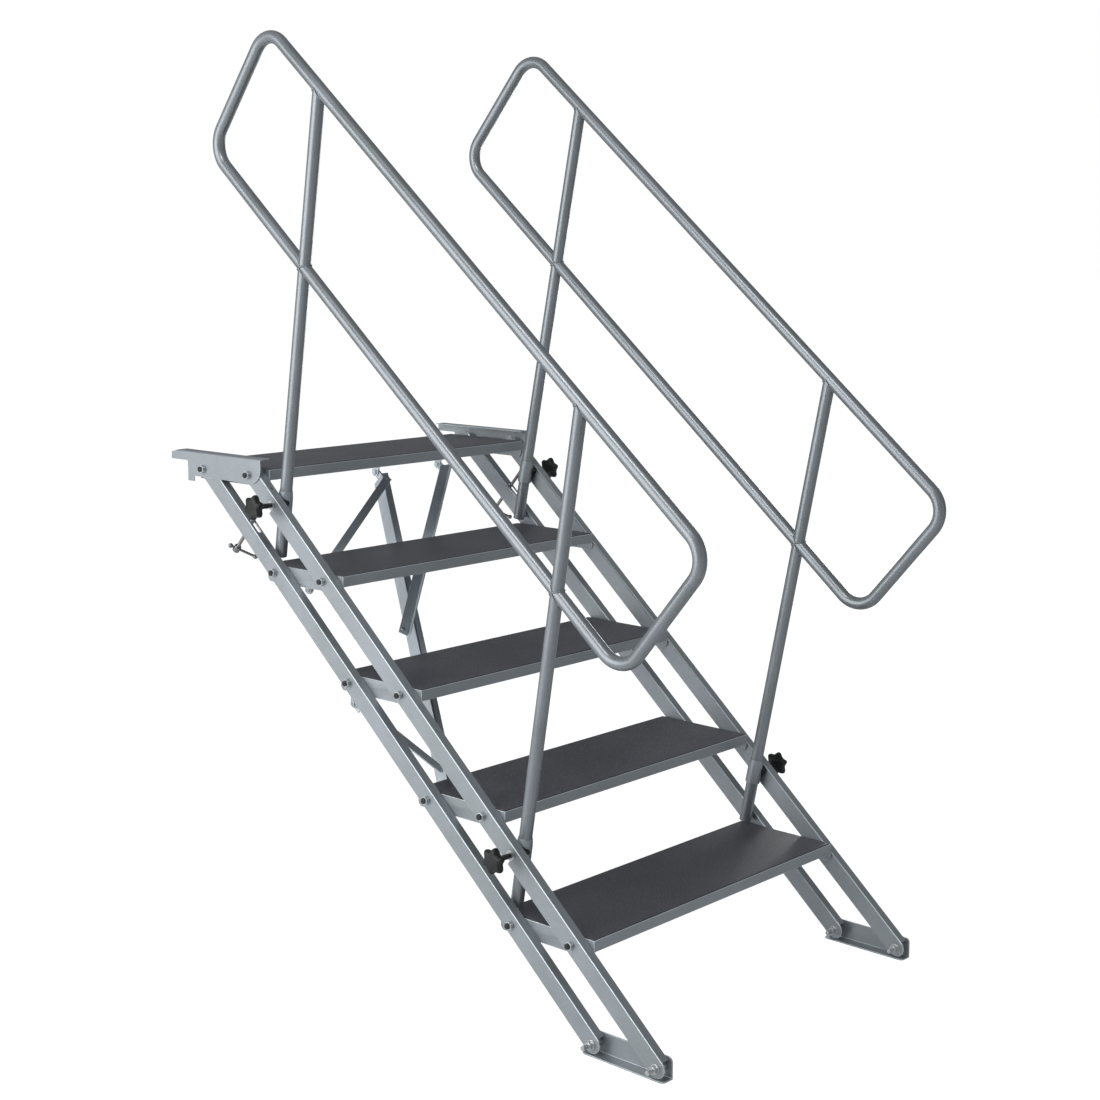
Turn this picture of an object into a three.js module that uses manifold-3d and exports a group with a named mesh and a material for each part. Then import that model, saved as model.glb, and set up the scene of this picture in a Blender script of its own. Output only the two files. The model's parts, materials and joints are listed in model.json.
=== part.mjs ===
// Height-adjustable stage stairs. Millimetres, +Z up, +Y the way up the stair, X across it.
// Each side frame is a parallelogram: an upper and a lower rail turn on a foot, and every tread is
// bolted to both rails, so the treads stay level while the slope of the rails changes.
import * as THREE from "three";
import { mergeVertices } from "three/addons/utils/BufferGeometryUtils.js";
import Module from "manifold-3d";

const wasm = await Module();
wasm.setup();

// unit and scale numbers
const DEG = Math.PI / 180;
const HALF = 0.5;
const TWICE = 2;
const TURN = 2 * Math.PI;
const WELD = 1e-4;
const ROUND_SIDES = 12;
const TUBE_SIDES = 16;
const BORE_SIDES = 10;
const HEX_SIDES = 6;
const BEND_STEPS = 5;
const END_STEPS = 7;

// slope, spacing and fits
const SLOPE = 41.3 * DEG;
const LOWEST_SLOPE = 21.3 * DEG;
const HIGHEST_SLOPE = 42.3 * DEG;
const STEPS = 5;
const PITCH = 315;
const FIRST_STEP_SHARE = 0.9;
const LINK = 160;
const GAP = 0.3;
const RUNNING = 0.4;
const SIDE_GAP = 1.5;
const OVERCUT = 6;

// treads, measured from the front bolt
const TREAD_WIDTH = 800;
const TREAD_DEPTH = 250;
const NOSE = 41.4;
const LIP_TOP = 12;
const LIP_HEIGHT = 23;
const SIDE_HEIGHT = 39;
const SIDE_CHAMFER = 7;
const SHEET = 2.5;
const LEDGE = 20;
const PANEL_THICK = 12.8;
const PANEL_PLAY = 0.6;
const PANEL_PROUD = 1.2;

// rails
const RAIL_DEEP = 40;
const RAIL_WIDE = 20;
const RAIL_WALL = 3;
const RAIL_DROP = 18;
const NOTCH_RADIUS = 6.2;

// bolts
const BOLT_RADIUS = 5;
const HEAD_RADIUS = 9;
const HEAD_HEIGHT = 5;
const NUT_HEIGHT = 9;
const THREAD_END = 3;
const SPACER_RADIUS = 9;
const WASHER_RADIUS = 11;
const WASHER_THICK = 1.6;

// feet
const FOOT_BOLT_HEIGHT = 24;
const FOOT_FRONT = 20;
const FOOT_REAR = 25;
const FOOT_HEIGHT = 44;
const FOOT_WIDTH = 30;
const FOOT_WALL = 3;
const FOOT_STANDOFF = 24.5;
const FOOT_CORNER = 10;
const FOOT_THREAD_END = 15;

// hook brackets, measured from the front bolt of the top tread
const HOOK_WALL = 3;
const HOOK_FRONT = 40;
const HOOK_TOP = 37;
const HOOK_FLANGE = 28;
const HOOK_BEND = 5;
const HOOK_BELLY = 19;
const HOOK_FRONT_ROUND = 34;
const HOOK_LEG_FRONT = 196;
const HOOK_LEG_REAR = 218;
const HOOK_LEG_FOOT = 31;
const HOOK_MOUTH = 15;
const HOOK_REACH = 60;
const HOOK_NOSE_TOP = 31;
const HOOK_NOSE_SLOPE = 23;

// handrails, in a plane through the studs that leans outwards
const TUBE_RADIUS = 13.45;
const TUBE_WALL = 2;
const HAND_INSET = 17;
const SPLAY = 1.4 * DEG;
const POST_ANGLE = 30.8 * DEG;
const LOOP_TILT = -1.35 * DEG;
const LOOP_LENGTH = 1545;
const LOOP_WIDTH = 322.3;
const LOOP_BEND = 58;
const LOOP_AHEAD = 110;
const LOOP_ABOVE = 616.5;
const REAR_STUD_BACK = 94;
const FRONT_STUD_BACK = 100;
const POST_BELOW = 121;
const VENT_RADIUS = 5;

// handrail clamps
const SLEEVE_WALL = 2.6;
const SLEEVE_BELOW = 26;
const SLEEVE_ABOVE = 14;
const SLEEVE_TAPER = 16;
const SLEEVE_RIM = 0.8;
const STUD_RADIUS = 5;
const SADDLE_LONG = 48;
const SADDLE_WIDE = 40;
const SADDLE_INNER = 4;
const SADDLE_CORNER = 6;
const BOSS_RADIUS = 15;
const KNOB_RADIUS = 28;
const KNOB_LOBE = 3.4;
const KNOB_LOBES = 6;
const KNOB_STEPS = 36;
const KNOB_THICK = 20;
const KNOB_ROUND = 3;
const KNOB_OUT = 86;
const STEM_RADIUS = 9;
const STEM_FOOT_RADIUS = 7.5;
const STUD_INTO_KNOB = 12;

// locking spindles
const SPINDLE_RADIUS = 4;
const SPINDLE_BACK = 63.5;
const SPINDLE_NUT_RADIUS = 7;
const SPINDLE_NUT_HEIGHT = 6;
const HUB_RADIUS = 8;
const HUB_TOP = 165;
const HUB_HEIGHT = 16;
const BAR_RADIUS = 3;
const BAR_LENGTH = 60;
const BAR_SLID = 15;
const BALL_RADIUS = 5.5;
const BAR_TURN = -43 * DEG;

// bracing below the treads
const PIVOT_ALONG_SHARE = 0.44;
const PIVOT_BELOW_SHARE = 0.714;
const ANGLE_DEEP = 40;
const ANGLE_WIDE = 20;
const ANGLE_WALL = 2.5;
const LONG_TOP_SHARE = 0.35;
const LONG_LOW_SHARE = -0.7825;
const LONG_LOW_STEPS = 3;
const SHORT_TOP_SHARE = 0.965;
const SHORT_LOW_SHARE = -0.31;
const SHORT_LOW_BACK = 499;
const SHORT_WIDE = 25;
const SHORT_LEG = 18;
const BAR_SETBACK = 14;
const EAR_THICK = 4;
const EAR_RADIUS = 10;
const PIN_RADIUS = 4;
const PIN_HEAD_RADIUS = 7;
const PIN_HEAD = 4;
const BRACKET_FLANGE = 45;
const BRACKET_LONG = 34;
const FLAT_WIDE = 20;
const FLAT_THICK = 4;
const UPPER_FLAT_SHARES = { top: 0.355, low: -0.725 };
const UPPER_FLAT_BACK = 32;
const UPPER_FLAT_STEPS = 1;
const LOWER_FLAT_SHARES = { top: -0.92, low: -0.66 };
const LOWER_FLAT_BACK = 844;
const LOWER_FLAT_STEPS = 2;
const BRACE_BOLT_RADIUS = 3;
const BRACE_HEAD_RADIUS = 5.8;
const BRACE_HEAD = 4;
const BRACE_BOLT_END = 9;
const SHORT_BOLT_END = 12;
const SHORT_BOLT_EDGE = 8;

// derived places
const HALF_WIDTH = TREAD_WIDTH * HALF;
const LAST = STEPS - 1;
const RAIL_RUN = (FIRST_STEP_SHARE + LAST) * PITCH;
const RAIL_TOP = RAIL_DEEP - RAIL_DROP;
const RAIL_MIDDLE = RAIL_DEEP * HALF - RAIL_DROP;
const LEFT_WEB = -(HALF_WIDTH + SIDE_GAP + RAIL_WIDE);
const RIGHT_WEB = HALF_WIDTH + SIDE_GAP;
const TREAD_REAR = TREAD_DEPTH - NOSE;
const LIP_BOTTOM = LIP_TOP - LIP_HEIGHT;
const SIDE_BOTTOM = LIP_TOP - SIDE_HEIGHT;
const LEDGE_TOP = LIP_TOP + PANEL_PROUD - PANEL_THICK - GAP;
const BOLT_HOLE = BOLT_RADIUS + GAP;
const HOOK_INSIDE = HALF_WIDTH + SIDE_GAP + RAIL_WIDE + GAP;
const FRONT_STEP = 1;
const FRONT_STUD = (FIRST_STEP_SHARE + FRONT_STEP) * PITCH - FRONT_STUD_BACK;
const REAR_STUD = RAIL_RUN - REAR_STUD_BACK;
const SPINDLE_ALONG = RAIL_RUN - SPINDLE_BACK;
const SPINDLE_ACROSS = (RAIL_WALL + RAIL_WIDE) * HALF;
const HAND_PLANE = HALF_WIDTH - HAND_INSET;
const RAIL_FACE = HALF_WIDTH + SIDE_GAP - HAND_PLANE;
const SLEEVE_RADIUS = TUBE_RADIUS + RUNNING + SLEEVE_WALL;
const SIDES = [
  { name: "left", out: -1, web: LEFT_WEB },
  { name: "right", out: 1, web: RIGHT_WEB },
];

const BAR_TOP = EAR_RADIUS;
const PIVOT_ALONG = PIVOT_ALONG_SHARE * TREAD_DEPTH;
const PIVOT_BELOW = PIVOT_BELOW_SHARE * TREAD_DEPTH;
const LONG_TOP_X = LONG_TOP_SHARE * HALF_WIDTH;
const LONG_LOW_X = LONG_LOW_SHARE * HALF_WIDTH;
const SHORT_TOP_X = SHORT_TOP_SHARE * HALF_WIDTH;
const SHORT_LOW_X = SHORT_LOW_SHARE * HALF_WIDTH;
const UPPER_FLAT = {
  topX: UPPER_FLAT_SHARES.top * HALF_WIDTH,
  topAlong: -UPPER_FLAT_BACK,
  lowX: UPPER_FLAT_SHARES.low * HALF_WIDTH,
  lowAlong: -UPPER_FLAT_STEPS * PITCH,
};
const LOWER_FLAT = {
  topX: LOWER_FLAT_SHARES.top * HALF_WIDTH,
  topAlong: -LOWER_FLAT_STEPS * PITCH,
  lowX: LOWER_FLAT_SHARES.low * HALF_WIDTH,
  lowAlong: -LOWER_FLAT_BACK,
};
const LONG_LOW_ALONG = -LONG_LOW_STEPS * PITCH;
const LONG_LEAN = (LONG_TOP_X - LONG_LOW_X) / -LONG_LOW_ALONG;
const LONG_EAR_TOP = LONG_TOP_X - BAR_SETBACK * LONG_LEAN;
const LONG_EAR_LOW = LONG_LOW_X + BAR_SETBACK * LONG_LEAN;
const SHORT_LEAN = (SHORT_TOP_X - SHORT_LOW_X) / SHORT_LOW_BACK;
const SHORT_EAR_TOP = SHORT_TOP_X - BAR_SETBACK * SHORT_LEAN - SHORT_WIDE;

// colours
const paint = { color: 0x9fa3a8, roughness: 0.42, metalness: 0.55 };
const zinc = { color: 0xb4b5b3, roughness: 0.35, metalness: 0.9 };
const film = { color: 0x37383b, roughness: 0.62, metalness: 0 };
const plastic = { color: 0x141517, roughness: 0.5, metalness: 0 };

// solids
function solid(geometry) {
  const bare = geometry.index ? geometry.toNonIndexed() : geometry.clone();
  bare.deleteAttribute("normal");
  bare.deleteAttribute("uv");
  const merged = mergeVertices(bare, WELD);
  return new wasm.Manifold(
    new wasm.Mesh({
      numProp: 3,
      vertProperties: merged.attributes.position.array,
      triVerts: new Uint32Array(merged.index.array),
    }),
  );
}

function geometryOf(body) {
  const made = body.getMesh();
  const geometry = new THREE.BufferGeometry();
  geometry.setAttribute("position", new THREE.BufferAttribute(made.vertProperties, 3));
  geometry.setIndex(new THREE.BufferAttribute(made.triVerts, 1));
  const flat = geometry.toNonIndexed();
  flat.computeVertexNormals();
  return flat;
}

const join = (first, ...others) => others.reduce((sum, one) => sum.add(one), first);
const cut = (first, ...others) => others.reduce((rest, one) => rest.subtract(one), first);

function box([x0, x1], [y0, y1], [z0, z1]) {
  const block = new THREE.BoxGeometry(x1 - x0, y1 - y0, z1 - z0);
  block.translate((x0 + x1) * HALF, (y0 + y1) * HALF, (z0 + z1) * HALF);
  return solid(block);
}

// An outline in the YZ plane made into a plate from x0 to x1.
const ACROSS = new THREE.Matrix4().makeBasis(
  new THREE.Vector3(0, 1, 0),
  new THREE.Vector3(0, 0, 1),
  new THREE.Vector3(1, 0, 0),
);
function plate(points, x0, x1) {
  const shape = new THREE.Shape(points.map(([y, z]) => new THREE.Vector2(y, z)));
  const slab = new THREE.ExtrudeGeometry(shape, { depth: x1 - x0, bevelEnabled: false });
  slab.applyMatrix4(ACROSS);
  slab.translate(x0, 0, 0);
  return solid(slab);
}

// A round bar between two points, narrower at its end if a second radius is given.
function rod(from, to, radius, sides = ROUND_SIDES, endRadius = radius) {
  const a = new THREE.Vector3(...from);
  const b = new THREE.Vector3(...to);
  const bar = new THREE.CylinderGeometry(endRadius, radius, a.distanceTo(b), sides);
  const way = b.clone().sub(a).normalize();
  bar.applyQuaternion(new THREE.Quaternion().setFromUnitVectors(new THREE.Vector3(0, 1, 0), way));
  bar.translate(...a.add(b).multiplyScalar(HALF).toArray());
  return solid(bar);
}
const crossRod = (x0, x1, y, z, radius, sides) => rod([x0, y, z], [x1, y, z], radius, sides);

function arc(y, z, radius, from, to, steps = END_STEPS) {
  return Array.from({ length: steps + 1 }, (_, i) => {
    const a = (from + ((to - from) * i) / steps) * DEG;
    return [y + radius * Math.cos(a), z + radius * Math.sin(a)];
  });
}

// rails, in their own frame: y runs up the slope from the foot bolt, z is square to the rail
function rail(cuts) {
  const outline = [
    ...arc(0, RAIL_MIDDLE, RAIL_DEEP * HALF, 270, 90),
    ...arc(RAIL_RUN, RAIL_MIDDLE, RAIL_DEEP * HALF, 90, -90),
  ];
  const web = plate(outline, 0, RAIL_WALL);
  const flange = box([0, RAIL_WIDE], [0, RAIL_RUN], [RAIL_TOP - RAIL_WALL, RAIL_TOP]);
  const places = [0];
  for (let step = 0; step < STEPS; step++) places.push((FIRST_STEP_SHARE + step) * PITCH);
  const holes = places.map((s) => crossRod(-OVERCUT, RAIL_WALL + OVERCUT, s, 0, BOLT_HOLE));
  return cut(join(web, flange), ...holes, ...cuts);
}

// A notch open at the rail's lower edge, in which a handrail stud hangs.
function notch(along) {
  const across = [-OVERCUT, RAIL_WALL + OVERCUT];
  const mouth = box(
    across,
    [along - NOTCH_RADIUS, along + NOTCH_RADIUS],
    [-RAIL_DROP - OVERCUT, RAIL_MIDDLE],
  );
  return join(mouth, crossRod(...across, along, RAIL_MIDDLE, NOTCH_RADIUS));
}

// A hole through the flange, drawn out into a slot where the spindle has to travel.
function spindleSlot(from, to) {
  const radius = SPINDLE_RADIUS + RUNNING;
  const low = RAIL_TOP - RAIL_WALL - OVERCUT;
  const high = RAIL_TOP + OVERCUT;
  const end = (y) => rod([SPINDLE_ACROSS, y, low], [SPINDLE_ACROSS, y, high], radius);
  if (to <= from) return end(from);
  const middle = box(
    [SPINDLE_ACROSS - radius, SPINDLE_ACROSS + radius],
    [from, to],
    [low, high],
  );
  return join(end(from), end(to), middle);
}

const upperRail = () =>
  rail([notch(FRONT_STUD), notch(REAR_STUD), spindleSlot(SPINDLE_ALONG, SPINDLE_ALONG)]);
const lowerRail = () =>
  rail([
    spindleSlot(
      SPINDLE_ALONG - LINK * Math.cos(LOWEST_SLOPE),
      SPINDLE_ALONG - LINK * Math.cos(HIGHEST_SLOPE),
    ),
  ]);

// feet, in the floor frame with y = 0 at the front foot bolt
function foot(web) {
  const face = web + FOOT_STANDOFF;
  const front = -FOOT_FRONT;
  const rear = LINK + FOOT_REAR;
  const upright = plate(
    [
      [front, 0],
      [rear, 0],
      ...arc(rear - FOOT_CORNER, FOOT_HEIGHT - FOOT_CORNER, FOOT_CORNER, 0, 90, BEND_STEPS),
      ...arc(front + FOOT_CORNER, FOOT_HEIGHT - FOOT_CORNER, FOOT_CORNER, 90, 180, BEND_STEPS),
    ],
    face,
    face + FOOT_WALL,
  );
  const outer = face + FOOT_WALL - FOOT_WIDTH;
  const floor = new THREE.Shape();
  floor.moveTo(face + FOOT_WALL * HALF, front);
  floor.lineTo(face + FOOT_WALL * HALF, rear);
  floor.lineTo(outer + FOOT_CORNER, rear);
  floor.absarc(outer + FOOT_CORNER, rear - FOOT_CORNER, FOOT_CORNER, 90 * DEG, 180 * DEG);
  floor.absarc(outer + FOOT_CORNER, front + FOOT_CORNER, FOOT_CORNER, 180 * DEG, 270 * DEG);
  const flat = new THREE.ExtrudeGeometry(floor, {
    depth: FOOT_WALL,
    bevelEnabled: false,
    curveSegments: BEND_STEPS,
  });
  const through = [face - OVERCUT, face + FOOT_WALL + OVERCUT];
  return cut(
    join(upright, solid(flat)),
    crossRod(...through, 0, FOOT_BOLT_HEIGHT, BOLT_HOLE),
    crossRod(...through, LINK, FOOT_BOLT_HEIGHT, BOLT_HOLE),
  );
}

// A foot bolt with its spacer, washer and nut, along X at the frame's origin.
function footBolt(web) {
  const face = web + FOOT_STANDOFF;
  const headFrom = face + FOOT_WALL + GAP;
  const washerTo = web - GAP;
  const nutTo = washerTo - WASHER_THICK;
  return join(
    crossRod(nutTo - NUT_HEIGHT - FOOT_THREAD_END, headFrom + HEAD_HEIGHT * HALF, 0, 0, BOLT_RADIUS),
    crossRod(headFrom, headFrom + HEAD_HEIGHT, 0, 0, HEAD_RADIUS, HEX_SIDES),
    crossRod(web + RAIL_WALL + GAP, face - GAP, 0, 0, SPACER_RADIUS),
    crossRod(nutTo, washerTo, 0, 0, WASHER_RADIUS),
    crossRod(nutTo - NUT_HEIGHT, nutTo, 0, 0, HEAD_RADIUS, HEX_SIDES),
  );
}

// treads, in a frame at their front bolt
// The bolts of one side: rooted in the tread's end, with a spacer up to the rail and a lock nut.
function treadBolts(side, top) {
  const reach = (x) => side.out * x;
  const near = side.out < 0 ? -(side.web + RAIL_WALL) : side.web;
  const far = near + RAIL_WALL;
  const plateFar = HOOK_INSIDE + HOOK_WALL;
  const nutFrom = (top ? plateFar : far) + GAP;
  const root = HALF_WIDTH - SHEET * HALF;
  const bolt = (y) => {
    const pieces = [
      crossRod(reach(root), reach(nutFrom + NUT_HEIGHT + THREAD_END), y, 0, BOLT_RADIUS),
      crossRod(reach(root), reach(near - GAP), y, 0, SPACER_RADIUS),
      crossRod(reach(nutFrom), reach(nutFrom + NUT_HEIGHT), y, 0, HEAD_RADIUS, HEX_SIDES),
    ];
    if (top && HOOK_INSIDE - far > HOOK_WALL)
      pieces.push(crossRod(reach(far + GAP), reach(HOOK_INSIDE - GAP), y, 0, SPACER_RADIUS));
    return join(...pieces);
  };
  return [bolt(0), bolt(LINK)];
}

// Where the bracing turns on a tread, from the tread's front bolt.
const PIVOT = [
  PIVOT_ALONG * Math.cos(SLOPE) + PIVOT_BELOW * Math.sin(SLOPE),
  PIVOT_ALONG * Math.sin(SLOPE) - PIVOT_BELOW * Math.cos(SLOPE),
];

// A hanging plate from the height given down to the pivot, set just inside the rear lip.
function hanger(x, top) {
  const rear = TREAD_REAR - SHEET - GAP;
  return plate(
    [
      [rear, top],
      [rear, LIP_BOTTOM],
      ...arc(...PIVOT, EAR_RADIUS, 0, -180),
      [rear - BRACKET_LONG, LIP_BOTTOM * HALF],
      [rear - BRACKET_LONG, top],
    ],
    x - EAR_THICK,
    x,
  );
}

// The pin that carries an ear of the bracing, with a head on both sides.
function pin(x) {
  const far = x + GAP + EAR_THICK + GAP;
  return join(
    crossRod(x - EAR_THICK - PIN_HEAD, far + PIN_HEAD, ...PIVOT, PIN_RADIUS),
    crossRod(x - EAR_THICK - PIN_HEAD, x - EAR_THICK * HALF, ...PIVOT, PIN_HEAD_RADIUS, HEX_SIDES),
    crossRod(far, far + PIN_HEAD, ...PIVOT, PIN_HEAD_RADIUS, HEX_SIDES),
  );
}

const HANGERS = [[], [], [LOWER_FLAT.topX], [UPPER_FLAT.lowX], []];

function treadFrame(step) {
  const wide = [-HALF_WIDTH, HALF_WIDTH];
  const deep = [-NOSE, TREAD_REAR];
  const inset = ([a, b], by) => [a + by, b - by];
  const rim = box(wide, deep, [LIP_BOTTOM, LIP_TOP]);
  const seat = box(inset(wide, SHEET), inset(deep, SHEET), [LEDGE_TOP, LIP_TOP + OVERCUT]);
  const below = box(
    inset(wide, SHEET),
    inset(deep, SHEET),
    [LIP_BOTTOM - OVERCUT, LEDGE_TOP - SHEET],
  );
  const middle = box(inset(wide, LEDGE), inset(deep, LEDGE), [LIP_BOTTOM, LIP_TOP]);
  const end = [
    [-NOSE, LIP_TOP],
    [-NOSE, SIDE_BOTTOM + SIDE_CHAMFER],
    [SIDE_CHAMFER - NOSE, SIDE_BOTTOM],
    [TREAD_REAR - SIDE_CHAMFER, SIDE_BOTTOM],
    [TREAD_REAR, SIDE_BOTTOM + SIDE_CHAMFER],
    [TREAD_REAR, LIP_TOP],
  ];
  const ends = [
    plate(end, -HALF_WIDTH, SHEET - HALF_WIDTH),
    plate(end, HALF_WIDTH - SHEET, HALF_WIDTH),
  ];
  const bolts = SIDES.flatMap((side) => treadBolts(side, step === LAST));
  const ears = (HANGERS[step] || []).flatMap((x) => [hanger(x, LEDGE_TOP - SHEET * HALF), pin(x)]);
  return join(cut(rim, seat, below, middle), ...ends, ...bolts, ...ears);
}

function treadPanel() {
  const side = SHEET + PANEL_PLAY;
  return box(
    [side - HALF_WIDTH, HALF_WIDTH - side],
    [side - NOSE, TREAD_REAR - side],
    [LEDGE_TOP + GAP, LEDGE_TOP + GAP + PANEL_THICK],
  );
}

// An angle bracket under a tread that holds one end of a bar on its pin.
function barBracket(x) {
  const top = LEDGE_TOP - SHEET - GAP;
  const rear = TREAD_REAR - SHEET - GAP;
  const flange = box(
    [x - BRACKET_FLANGE, x - EAR_THICK * HALF],
    [rear - BRACKET_LONG, rear],
    [top - EAR_THICK, top],
  );
  return join(hanger(x, top), flange, pin(x));
}

// hook brackets
function hookBracket(side) {
  const reach = (x) => side.out * x;
  const far = HOOK_INSIDE + HOOK_WALL;
  const corner = arc(far - HOOK_BEND, HOOK_TOP - HOOK_BEND, HOOK_BEND, 0, 90, BEND_STEPS);
  const inner = arc(
    far - HOOK_BEND,
    HOOK_TOP - HOOK_BEND,
    HOOK_BEND - HOOK_WALL,
    90,
    0,
    BEND_STEPS,
  );
  const section = new THREE.Shape(
    [
      [far, -HOOK_LEG_FOOT],
      ...corner,
      [far - HOOK_FLANGE, HOOK_TOP],
      [far - HOOK_FLANGE, HOOK_TOP - HOOK_WALL],
      ...inner,
      [far - HOOK_WALL, -HOOK_LEG_FOOT],
    ].map(([x, z]) => new THREE.Vector2(reach(x), z)),
  );
  const rear = HOOK_LEG_REAR + HOOK_REACH;
  const bent = new THREE.ExtrudeGeometry(section, {
    depth: rear + HOOK_FRONT,
    bevelEnabled: false,
  });
  bent.rotateX(90 * DEG);
  bent.translate(0, rear, 0);
  const outline = plate(
    [
      [-HOOK_FRONT, HOOK_TOP + OVERCUT],
      ...arc(
        HOOK_FRONT_ROUND - HOOK_FRONT,
        HOOK_FRONT_ROUND - HOOK_BELLY,
        HOOK_FRONT_ROUND,
        180,
        270,
      ),
      [HOOK_LEG_FRONT, -HOOK_BELLY],
      [HOOK_LEG_FRONT, -HOOK_LEG_FOOT],
      [HOOK_LEG_REAR, -HOOK_LEG_FOOT],
      [HOOK_LEG_REAR, HOOK_MOUTH],
      [rear, HOOK_MOUTH],
      [rear, HOOK_NOSE_TOP],
      [rear - HOOK_NOSE_SLOPE, HOOK_TOP],
      [rear - HOOK_NOSE_SLOPE, HOOK_TOP + OVERCUT],
    ],
    -far - OVERCUT,
    far + OVERCUT,
  );
  const through = [reach(HOOK_INSIDE - OVERCUT), reach(far + OVERCUT)];
  return cut(
    solid(bent).intersect(outline),
    crossRod(...through, 0, 0, BOLT_HOLE),
    crossRod(...through, LINK, 0, BOLT_HOLE),
  );
}

// handrails: y up the slope and z away from the rails, origin at the rear stud
// Points and outward directions of the loop's centre line.
function loopLine() {
  const length = LOOP_LENGTH * HALF - LOOP_BEND;
  const width = LOOP_WIDTH * HALF - LOOP_BEND;
  const corners = [
    [length, width, 0],
    [-length, width, 90],
    [-length, -width, 180],
    [length, -width, 270],
  ];
  return corners.flatMap(([y, z, from]) =>
    Array.from({ length: BEND_STEPS + 1 }, (_, i) => {
      const a = (from + (90 * i) / BEND_STEPS) * DEG;
      const place = new THREE.Vector2(y + LOOP_BEND * Math.cos(a), z + LOOP_BEND * Math.sin(a));
      const out = new THREE.Vector2(Math.cos(a), Math.sin(a));
      const turned = place.rotateAround(new THREE.Vector2(), LOOP_TILT);
      turned.add(new THREE.Vector2(-LOOP_AHEAD, LOOP_ABOVE));
      return { place: turned, out: out.rotateAround(new THREE.Vector2(), LOOP_TILT) };
    }),
  );
}

// A closed ring of tube sections around the loop's centre line.
function ring(radius, sides) {
  const line = loopLine();
  const spots = [];
  for (const { place, out } of line)
    for (let j = 0; j < sides; j++) {
      const a = (TURN * j) / sides;
      const away = radius * Math.cos(a);
      spots.push(radius * Math.sin(a), place.x + out.x * away, place.y + out.y * away);
    }
  const faces = [];
  for (let i = 0; i < line.length; i++)
    for (let j = 0; j < sides; j++) {
      const next = (i + 1) % line.length;
      const side = (j + 1) % sides;
      const [a, b] = [i * sides + j, next * sides + j];
      const [c, d] = [next * sides + side, i * sides + side];
      faces.push(a, b, c, a, c, d);
    }
  const geometry = new THREE.BufferGeometry();
  geometry.setAttribute("position", new THREE.Float32BufferAttribute(spots, 3));
  geometry.setIndex(faces);
  return solid(geometry);
}

const POST_WAY = [Math.sin(POST_ANGLE), Math.cos(POST_ANGLE)];
const onPost = (stud, along) => [0, stud + POST_WAY[0] * along, POST_WAY[1] * along];

// How far up a post the centre line of the loop's lower or upper run lies.
function runOnPost(stud, upper) {
  const run = new THREE.Vector2(1, 0).rotateAround(new THREE.Vector2(), LOOP_TILT);
  const square = new THREE.Vector2(-run.y, run.x);
  const middle = new THREE.Vector2(-LOOP_AHEAD, LOOP_ABOVE);
  const start = new THREE.Vector2(stud, 0);
  const offset = (upper ? HALF : -HALF) * LOOP_WIDTH;
  return (
    (offset + middle.sub(start).dot(square)) / new THREE.Vector2(...POST_WAY).dot(square)
  );
}

const STUDS = { rear: 0, front: FRONT_STUD - REAR_STUD };

// The bent loop, hollow, with vent holes under the ends of the uprights.
function handrailLoop() {
  const vents = Object.values(STUDS).flatMap((stud) => {
    const low = runOnPost(stud, false);
    const high = runOnPost(stud, true);
    return [
      rod(onPost(stud, low), onPost(stud, low + TUBE_RADIUS + OVERCUT), VENT_RADIUS, END_STEPS),
      rod(onPost(stud, high - TUBE_RADIUS - OVERCUT), onPost(stud, high), VENT_RADIUS, END_STEPS),
    ];
  });
  return cut(ring(TUBE_RADIUS, TUBE_SIDES), ring(TUBE_RADIUS - TUBE_WALL, BORE_SIDES), ...vents);
}

function tubeOn(stud, from, to, outer, inner) {
  return cut(
    rod(onPost(stud, from), onPost(stud, to), outer, TUBE_SIDES),
    rod(onPost(stud, from - OVERCUT), onPost(stud, to + OVERCUT), inner, TUBE_SIDES),
  );
}

// The upright between the two runs of the loop, its ends shaped to the tube.
function upright(stud) {
  const pipe = tubeOn(
    stud,
    runOnPost(stud, false),
    runOnPost(stud, true),
    TUBE_RADIUS,
    TUBE_RADIUS - TUBE_WALL,
  );
  return cut(pipe, ring(TUBE_RADIUS + GAP, TUBE_SIDES));
}

// The post below the loop, which runs through its clamp and on below it.
function post(stud) {
  const pipe = tubeOn(
    stud,
    -POST_BELOW,
    runOnPost(stud, false),
    TUBE_RADIUS,
    TUBE_RADIUS - TUBE_WALL,
  );
  return cut(pipe, ring(TUBE_RADIUS + GAP, TUBE_SIDES));
}

// handrail clamps, in the rail's frame with the stud's root at the origin
// A point on the leaning post at a distance from the stud.
function leaned(side, along) {
  const [, y, z] = onPost(0, along);
  return [side.out * z * Math.sin(SPLAY), y, z * Math.cos(SPLAY)];
}

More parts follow.
